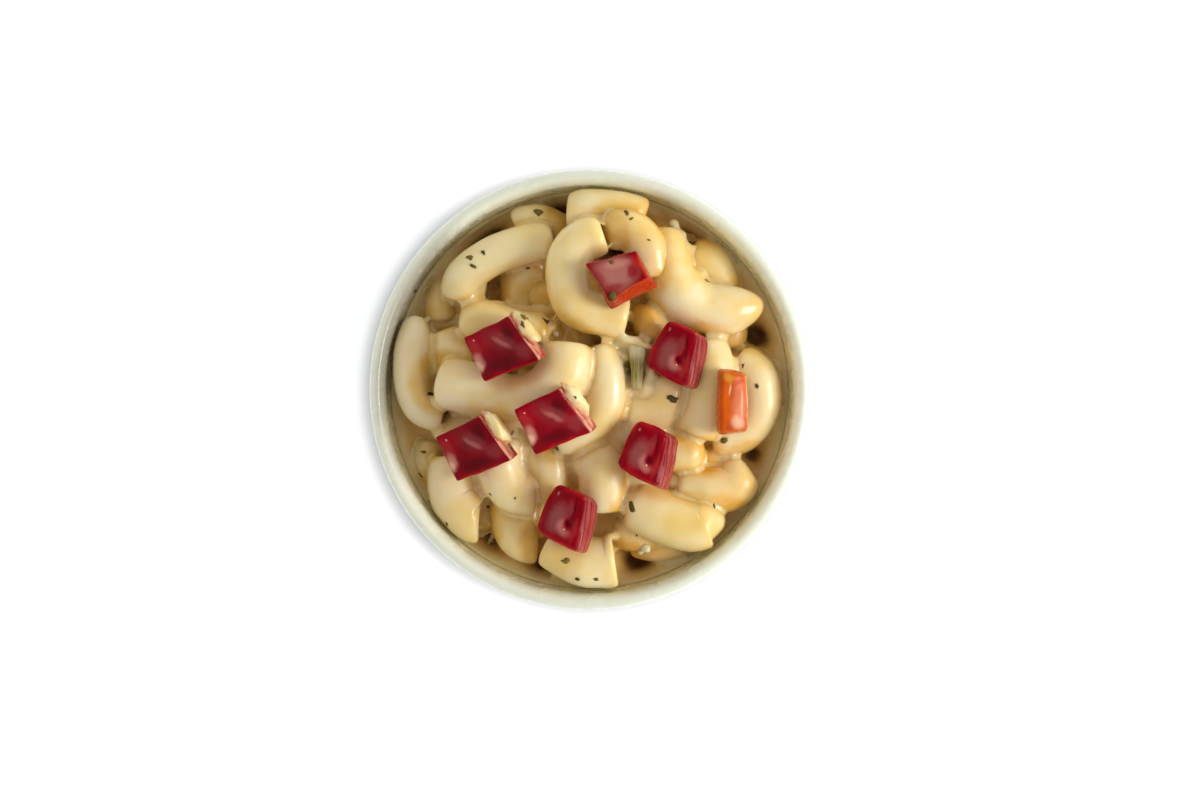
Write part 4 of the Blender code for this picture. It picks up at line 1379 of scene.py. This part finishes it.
def celery_flesh():
    """Pale green flesh with whitish strings."""
    finish, tree, shader = new_finish("celery_flesh")
    place = places(tree)
    cut = mesh_values(tree, "cut").outputs["Vector"]
    stretched = vector_step(tree, "MULTIPLY", cut, STRING_GRAIN)
    strings = blotches(tree, stretched.outputs[0], 1.0, 0.35, 0.65, detail=4.0)
    color = blend_colors(tree, strings, DARK_STRING, PALE_STRING)
    along = part_of(tree, cut, "Y")
    end = ramp(tree, along, -0.1, -0.75)
    color = blend_colors(tree, combine(tree, "MULTIPLY", end, 0.85), color, WHITE_RIB)
    foot = ramp(tree, along, 0.3, 0.9)
    color = blend_colors(tree, combine(tree, "MULTIPLY", foot, 0.6), color, PALE_FOOT)
    tree.links.new(color, shader.inputs["Base Color"])
    tree.links.new(ramp(tree, strings, 0.0, 1.0, 0.22, 0.4), shader.inputs["Roughness"])
    let_light_in(shader, 0.4, (0.8, 1.0, 0.35), 0.0015)
    shader.inputs["Coat Weight"].default_value = 0.3
    add_relief(tree, shader, [(stretched.outputs[0], 1.6, 0.0002), (place, 700.0, 0.00003)])
    return finish


celery = make_die(
    "celery_bit",
    CELERY,
    *CELERY_PLACE,
    CELERY_THICKNESS,
    CELERY_ROUND,
    celery_flesh(),
    "celery",
    "celery_sliver",
)
print("celery:", count_triangles(celery), "triangles")

# %% [markdown]
# ## The dressing
#
# Thick creamy dressing clings to everything. On top of an elbow it is only a thin shine, but in
# every crease it gathers and rounds the hollow off. The way to find that shape is to swell
# everything until it nearly touches, cast one skin round it all, smooth the skin, and shrink it
# back: it returns to the elbows where they are round, and stays as a soft fillet where they meet.
# The Remesh modifier casts the skin. More dressing lies in some places than in others, so how far
# it swells depends on the place, and a few pools are added where the cream has gathered. The
# rough lumps of cream beside the slanted dice are closed forms of their own, joined on last.

# %% Where dressing gathers
THIN_DRESSING = 0.4
THICK_SPOTS = (
    (-22.5, 17.5, 5.0, 0.7),
    (-9.0, 11.5, 6.0, 0.7),
    (-11.0, -10.5, 7.0, 0.7),
    (3.5, -25.5, 6.0, 0.7),
    (4.7, -10.0, 7.0, 0.7),
    (17.5, 26.0, 5.0, 0.4),
    (13.0, -17.5, 6.0, 0.7),
    (17.0, 0.0, 6.0, 0.5),
    (26.0, -6.0, 5.0, 0.5),
)
POOLS = (
    (-22.5, 17.2, 40.0, 3.2, 2.6, 2.2),
    (-19.7, 19.0, 40.0, 1.5, 2.3, 1.7),
    (-17.4, 15.7, 40.6, 2.6, 1.3, 1.6),
    (-9.2, 11.6, 42.6, 4.2, 2.6, 2.6),
    (-15.0, -8.8, 42.0, 3.4, 2.6, 2.2),
    (-8.0, -13.4, 41.4, 3.4, 2.6, 2.2),
    (15.4, 30.2, 38.6, 1.7, 1.7, 1.3),
    (16.9, 28.2, 39.4, 1.7, 1.6, 1.3),
    (18.2, 26.0, 39.6, 1.4, 1.7, 1.3),
    (18.0, 23.4, 40.2, 1.5, 1.4, 1.3),
    (19.9, 21.2, 40.6, 1.7, 1.2, 1.3),
    (3.7, -25.0, 38.4, 3.2, 2.6, 2.4),
    (4.9, -8.6, 41.0, 3.0, 3.2, 2.4),
    (9.0, -16.8, 40.6, 3.4, 2.4, 2.2),
    (13.0, -19.0, 40.6, 3.0, 2.4, 2.0),
    (7.4, 9.0, 45.5, 2.5, 1.3, 1.6),
    (9.8, 7.8, 45.5, 2.2, 1.2, 1.6),
    (6.3, 5.6, 43.6, 1.9, 3.4, 1.9),
    (6.9, 1.6, 43.0, 1.7, 2.4, 1.8),
    (10.8, 4.6, 43.2, 1.7, 3.2, 1.7),
    (9.9, 0.5, 43.0, 1.7, 2.0, 1.7),
)
# The smear on the north-east side of a slanted die: its place from the side's middle, and its half sizes.
SMEAR_AHEAD = -1.5
SMEAR_OUT = -0.25
SMEAR_UP = 2.7
SMEAR_SIZES = (3.7, 1.5, 2.1)
SMEAR_ROUGH = 0.34
SKIN_GRAIN = 0.4
SKIN_SMOOTHING = 7
SMALLEST_ISLAND = 150
SKIN_FROM = 30.0
NEAR_SOLID = 0.6
LEAST_OUTSIDE = 0.02
VIEW_SLANTS = (-1.1, -0.35, 0.35, 1.1)
SKIN_NOISE_SIZE = 3.5
PINK_STAIN = from_srgb(224, 132, 112)
OLIVE_BROWN = from_srgb(118, 92, 28)
BLUSH_REACH = 1.5
BARE_BY_WALL = 0.8
OLIVE_STAIN = (6.8, 4.4, 4.9)
SKIN_SINK = 0.13
SKIN_UNEVEN = 0.06


def dressing_depth(points):
    """How far the dressing swells at each place, in millimetres."""
    depth = np.array([THIN_DRESSING + 0.25 * noise.noise(Vector(p) / 5.0) for p in points])
    for x, y, reach, more in THICK_SPOTS:
        distance = np.hypot(points[:, 0] - x, points[:, 1] - y) / reach
        depth += more * smooth_bump(distance)
    return depth


def mesh_arrays(piece):
    """Points in millimetres, normals and faces of a mesh."""
    count = len(piece.data.vertices)
    points = np.empty(count * 3)
    normals = np.empty(count * 3)
    piece.data.vertices.foreach_get("co", points)
    piece.data.vertices.foreach_get("normal", normals)
    faces = [tuple(face.vertices) for face in piece.data.polygons]
    return points.reshape(-1, 3) / MM, normals.reshape(-1, 3), faces


def joined(parts):
    """Several lots of points and faces as one."""
    points = []
    faces = []
    first = 0
    for more_points, more_faces in parts:
        points.append(np.asarray(more_points))
        faces += [tuple(first + i for i in face) for face in more_faces]
        first += len(more_points)
    return np.concatenate(points), faces


def surface_tree(pieces):
    """A search tree over the surface of some pieces."""
    points, faces = joined([mesh_arrays(piece)[0::2] for piece in pieces])
    return BVHTree.FromPolygons([Vector(p) for p in points], faces)


def side_smears():
    """A rough lump of cream pressed on one side of each slanted die, as points and faces."""
    lumps = []
    for name, shape, x, y in DICE:
        if shape is not SLANTED:
            continue
        height, a, b = resting_place(name, x, y)
        start = np.array(shape[1][1])
        stop = np.array(shape[1][2])
        along = (stop - start) / np.linalg.norm(stop - start)
        outward = np.array([-along[1], along[0]])
        ball, faces = pool(0.0, 0.0, 0.0, 1.0, 1.0, 1.0)
        rough = np.array([noise.noise(Vector(p) * 1.9 + Vector((x, y, 0.0))) for p in ball])
        ball = ball * (1.0 + SMEAR_ROUGH * rough)[:, None] * SMEAR_SIZES
        middle = 0.5 * (start + stop) + along * SMEAR_AHEAD + outward * SMEAR_OUT
        flat = middle + ball[:, :1] * along + ball[:, 1:2] * outward
        level = height + a * flat[:, 0] + b * flat[:, 1] + SMEAR_UP + ball[:, 2]
        lumps.append((np.column_stack([flat + (x, y), level]), faces))
    return lumps


def pool(x, y, z, *radii):
    """A flat ball of gathered dressing."""
    mesh = bmesh.new()
    bmesh.ops.create_icosphere(mesh, subdivisions=3, radius=1.0)
    points = np.array([vert.co for vert in mesh.verts]) * radii + (x, y, z)
    faces = [tuple(vert.index for vert in face.verts) for face in mesh.faces]
    mesh.free()
    return points, faces


# %% Cast the skin
def cast_skin(pieces):
    """One smooth skin round the swollen pieces and the pools, shrunk back on them."""
    parts = [pool(*row) for row in POOLS]
    for piece in pieces:
        points, normals, faces = mesh_arrays(piece)
        parts.append((points + normals * dressing_depth(points)[:, None], faces))
    points, faces = joined(parts)
    mesh = bpy.data.meshes.new("swollen")
    mesh.from_pydata((points * MM).tolist(), [], faces)
    blank = bpy.data.objects.new("swollen", mesh)
    bpy.context.scene.collection.objects.link(blank)
    remesh = blank.modifiers.new("cast", "REMESH")
    remesh.mode = "VOXEL"
    remesh.voxel_size = SKIN_GRAIN * MM
    smooth = blank.modifiers.new("soften", "SMOOTH")
    smooth.factor = 0.5
    smooth.iterations = SKIN_SMOOTHING
    graph = bpy.context.evaluated_depsgraph_get()
    cast = bpy.data.meshes.new_from_object(blank.evaluated_get(graph))
    blank.data = cast
    points, normals, faces = mesh_arrays(blank)
    uneven = np.array([noise.noise(Vector(point) / SKIN_NOISE_SIZE) for point in points])
    back = dressing_depth(points) + SKIN_SINK + SKIN_UNEVEN * uneven
    points = points - normals * back[:, None]
    bpy.data.objects.remove(blank)
    return points, faces


# %% Keep the part that shows
def large_islands(faces):
    """Only the faces that hang together in islands of some size."""
    leader = {}

    def lead(point):
        while leader.setdefault(point, point) != point:
            leader[point] = leader[leader[point]]
            point = leader[point]
        return point

    for face in faces:
        for i in face[1:]:
            leader[lead(i)] = lead(face[0])
    sizes = {}
    for face in faces:
        sizes[lead(face[0])] = sizes.get(lead(face[0]), 0) + 1
    return [face for face in faces if sizes[lead(face[0])] >= SMALLEST_ISLAND]


def showing_part(points, faces, solids):
    """Only the part of a skin that lies outside the solids and can be seen from above."""
    tree = surface_tree(solids)
    views = [Vector((x, y, 1.0)) for x in VIEW_SLANTS for y in VIEW_SLANTS]
    shows = np.zeros(len(points), bool)
    for i, point in enumerate(points):
        if point[2] < SKIN_FROM or math.hypot(point[0], point[1]) > inner_radius(point[2]) - BARE_BY_WALL:
            continue
        place = Vector(point)
        spot_there, normal, _, distance = tree.find_nearest(place)
        if distance < NEAR_SOLID and (place - spot_there).dot(normal) < LEAST_OUTSIDE:
            continue
        shows[i] = any(tree.ray_cast(place + view * 0.05, view)[0] is None for view in views)
    kept = large_islands([face for face in faces if any(shows[i] for i in face)])
    used = sorted({i for face in kept for i in face})
    renumbered = {old: new for new, old in enumerate(used)}
    return points[used], [tuple(renumbered[i] for i in face) for face in kept]


# %% [markdown]
# The dressing has the colours of the dough it lies on, a little more see-through and glossier. It
# could share the macaroni's finish, but near the pepper it is stained pink and by the celery olive,
# so each point of the mesh carries how strong each stain is there.

# %% The finish of the dressing
def creamy_dressing():
    """Thick cream dressing, a little see-through, glossy where it is thick."""
    finish, tree, shader = new_finish("creamy_dressing")
    place = places(tree)
    clouds = blotches(tree, place, 110.0, 0.36, 0.72)
    color = blend_colors(tree, clouds, CREAM, STRAW)
    # Painted crease shade, as on the macaroni.
    crease = mesh_values(tree, "crease").outputs["Fac"]
    color = blend_colors(tree, combine(tree, "MULTIPLY", crease, 0.5), color, OCHRE)
    blush = mesh_values(tree, "blush").outputs["Fac"]
    patchy = blotches(tree, place, 420.0, 0.3, 0.6)
    color = blend_colors(tree, combine(tree, "MULTIPLY", blush, patchy), color, PINK_STAIN)
    olive = mesh_values(tree, "olive").outputs["Fac"]
    color = blend_colors(tree, combine(tree, "MULTIPLY", olive, patchy), color, OLIVE_BROWN)
    tree.links.new(color, shader.inputs["Base Color"])
    shine = blotches(tree, place, 380.0, 0.25, 0.75)
    tree.links.new(ramp(tree, shine, 0.0, 1.0, 0.24, 0.42), shader.inputs["Roughness"])
    let_light_in(shader, 0.4, (1.0, 0.76, 0.38), 0.0012)
    shader.inputs["Coat Weight"].default_value = 0.3
    shader.inputs["Coat Roughness"].default_value = 0.12
    add_relief(tree, shader, [(place, 240.0, 0.0002), (place, 1000.0, 0.00002)])
    return finish


# %% Lay the dressing
def make_dressing():
    """The dressing in the creases, as one piece."""
    skin = cast_skin([macaroni, core] + dice)
    points, faces = joined([showing_part(*skin, [macaroni, core] + dice)] + side_smears())
    piece = make_piece("creamy_dressing", points, faces, creamy_dressing(), "cooked_macaroni")
    keep_value(piece, "crease", nearness(points, elbow_beads(ALL_ELBOWS)))
    tree = surface_tree(dice)
    away = np.array([tree.find_nearest(Vector(point))[3] for point in points])
    keep_value(piece, "blush", smooth_bump(away / BLUSH_REACH))
    x, y, reach = OLIVE_STAIN
    keep_value(piece, "olive", smooth_bump(np.hypot(points[:, 0] - x, points[:, 1] - y) / reach))
    return piece


dressing = make_dressing()
print("dressing:", count_triangles(dressing), "triangles")

# %% [markdown]
# ## Herb flakes and crumbs
#
# Dried herb lies on everything as thin flakes of torn leaf, a millimetre or two wide, grey green to
# black. Each is a thin, bent, uneven plate. It is dropped along the camera's line of sight until it
# meets the food, so it lands where the photograph shows it, and it lies flat on what it meets.

# %% Where the flakes lie
FLAKE_SIDES = 9
FLAKES = (
    (-19.3, 24.8, 1.1, 0.9),
    (-21.7, 23.9, 1.5, 0.45),
    (-21.1, 22.4, 1.4, 0.6),
    (-11.2, 22.0, 1.0, 0.6),
    (-31.7, 17.9, 0.8, 0.5),
    (-12.1, 11.7, 1.5, 0.7),
    (-11.9, 13.2, 1.8, 0.3),
    (-7.9, 12.4, 1.9, 0.9),
    (-28.9, -0.8, 1.4, 1.0),
    (-2.6, -1.4, 0.9, 0.8),
    (-18.0, -19.0, 0.7, 0.8),
    (-13.5, -19.7, 0.6, 0.9),
    (-18.4, -21.3, 1.1, 0.8),
    (-30.2, -11.3, 1.2, 0.5),
    (-30.6, -15.5, 1.1, 0.6),
    (-2.3, -34.4, 1.1, 0.9),
    (1.2, -34.4, 1.1, 0.7),
    (-4.4, -31.1, 1.6, 0.3),
    (-9.3, 32.2, 1.8, 0.4),
    (6.8, 32.0, 1.3, 0.6),
    (7.5, 30.9, 1.0, 0.5),
    (10.8, 27.1, 0.8, 0.2),
    (21.3, 19.7, 1.0, 0.5),
    (4.1, 23.1, 1.0, 0.6),
    (4.2, 16.9, 1.7, 0.7),
    (27.8, 4.3, 0.9, 0.8),
    (30.4, 0.6, 0.9, 0.8),
    (24.4, -9.2, 1.5, 0.7),
    (15.0, -1.7, 2.4, 0.8),
    (7.7, -21.3, 2.0, 0.8),
    (22.6, -21.1, 0.9, 0.5),
    (8.6, -26.4, 0.8, 0.8),
    (-25.9, -24.4, 0.9, 0.4),
)
CRUMBS = (
    (-6.3, 10.2, 1.5),
    (10.2, -28.6, 2.0),
    (9.2, -29.3, 1.3),
    (0.6, 7.3, 0.6),
)


# %% Shape the flakes and crumbs
def seen_spot(tree, x, y):
    """Where the camera's line of sight through a place at the rim's level meets the food."""
    eye = camera.location / MM
    sight = (Vector((x, y, RIM_HEIGHT)) - eye).normalized()
    place, normal, _, _ = tree.ray_cast(eye, sight)
    return place, normal


def leaf_flake(place, normal, width, draw):
    """A thin, bent, uneven plate of leaf on a surface."""
    along = normal.orthogonal().normalized()
    across = normal.cross(along)
    turn = draw.uniform(0.0, 2.0 * math.pi)
    slim = draw.uniform(0.4, 0.9)
    bend = draw.uniform(0.1, 0.35)
    outline = []
    for k in range(FLAKE_SIDES):
        angle = 2.0 * math.pi * k / FLAKE_SIDES
        reach = 0.5 * width * draw.uniform(0.55, 1.25)
        a = reach * math.cos(angle)
        b = reach * slim * math.sin(angle)
        flat_a = a * math.cos(turn) - b * math.sin(turn)
        flat_b = a * math.sin(turn) + b * math.cos(turn)
        lift = bend * (a / (0.5 * width)) ** 2 * 0.5
        outline.append((flat_a, flat_b, lift))
    points = [place + normal * -0.12, place + normal * 0.16]
    for low in (True, False):
        for a, b, lift in outline:
            height = lift - 0.14 if low else lift + 0.06
            points.append(place + along * a + across * b + normal * height)
    faces = []
    for k in range(FLAKE_SIDES):
        after = (k + 1) % FLAKE_SIDES
        low, high = 2, 2 + FLAKE_SIDES
        faces.append((0, low + after, low + k))
        faces.append((1, high + k, high + after))
        faces.append((low + k, low + after, high + after, high + k))
    return [tuple(point) for point in points], faces


def crumb(place, normal, width, draw):
    """A rough little lump, half sunk."""
    mesh = bmesh.new()
    bmesh.ops.create_icosphere(mesh, subdivisions=2, radius=0.5 * width)
    offset = Vector((draw.uniform(0, 50), draw.uniform(0, 50), 0.0))
    points = []
    for vert in mesh.verts:
        rough = 1.0 + 0.5 * noise.noise(vert.co * 2.2 / width + offset)
        points.append(tuple(place + normal * 0.1 * width + vert.co * rough * 0.9))
    faces = [tuple(vert.index for vert in face.verts) for face in mesh.faces]
    mesh.free()
    return points, faces


# %% [markdown]
# Dried leaf is dull and each flake has its own tone, from grey green to nearly black. The tone is
# kept on the mesh, so one finish serves them all. The crumbs are pale, wet and see-through.

# %% The finish of herb and crumbs
PALE_LEAF = from_srgb(150, 126, 58)
DARK_LEAF = from_srgb(58, 48, 12)
LEAF_VEIN = from_srgb(104, 98, 46)
CURD_WHITE = from_srgb(244, 236, 208)
ONION_CREAM = from_srgb(228, 214, 170)


def dried_herb():
    """Grey green to nearly black leaf, each flake in its own tone."""
    finish, tree, shader = new_finish("dried_herb")
    place = places(tree)
    tone = mesh_values(tree, "tone").outputs["Fac"]
    color = blend_colors(tree, tone, PALE_LEAF, DARK_LEAF)
    veins = blotches(tree, place, 1500.0, 0.35, 0.7)
    color = blend_colors(tree, combine(tree, "MULTIPLY", veins, 0.4), color, LEAF_VEIN)
    tree.links.new(color, shader.inputs["Base Color"])
    tree.links.new(ramp(tree, veins, 0.0, 1.0, 0.45, 0.7), shader.inputs["Roughness"])
    shader.inputs["Specular IOR Level"].default_value = 0.2
    add_relief(tree, shader, [(place, 1400.0, 0.00005)])
    return finish


def pale_crumb():
    """Bits of onion and curd: whitish, wet and see-through."""
    finish, tree, shader = new_finish("pale_crumb")
    place = places(tree)
    clouds = blotches(tree, place, 700.0, 0.3, 0.7)
    color = blend_colors(tree, clouds, CURD_WHITE, ONION_CREAM)
    tree.links.new(color, shader.inputs["Base Color"])
    tree.links.new(ramp(tree, clouds, 0.0, 1.0, 0.2, 0.4), shader.inputs["Roughness"])
    let_light_in(shader, 0.4, (1.0, 0.8, 0.5), 0.001)
    add_relief(tree, shader, [(place, 900.0, 0.0001)])
    return finish


# %% Scatter the flakes and crumbs
def scatter():
    """All the flakes as one piece and all the crumbs as another."""
    draw = random.Random(3)
    tree = surface_tree([macaroni, dressing, bowl, celery] + dice)
    flakes = []
    tones = []
    for x, y, width, tone in FLAKES:
        place, normal = seen_spot(tree, x, y)
        flakes.append(leaf_flake(place, normal, width, draw))
        tones += [tone] * len(flakes[-1][0])
    herb = make_piece("herb_flakes", *joined(flakes), dried_herb())
    keep_value(herb, "tone", tones)
    crumbs = []
    for x, y, width in CRUMBS:
        place, normal = seen_spot(tree, x, y)
        crumbs.append(crumb(place, normal, width, draw))
    bits = make_piece("pale_crumbs", *joined(crumbs), pale_crumb(), "cooked_macaroni")
    return herb, bits


herb, bits = scatter()
print("herb:", count_triangles(herb), "crumbs:", count_triangles(bits), "triangles")
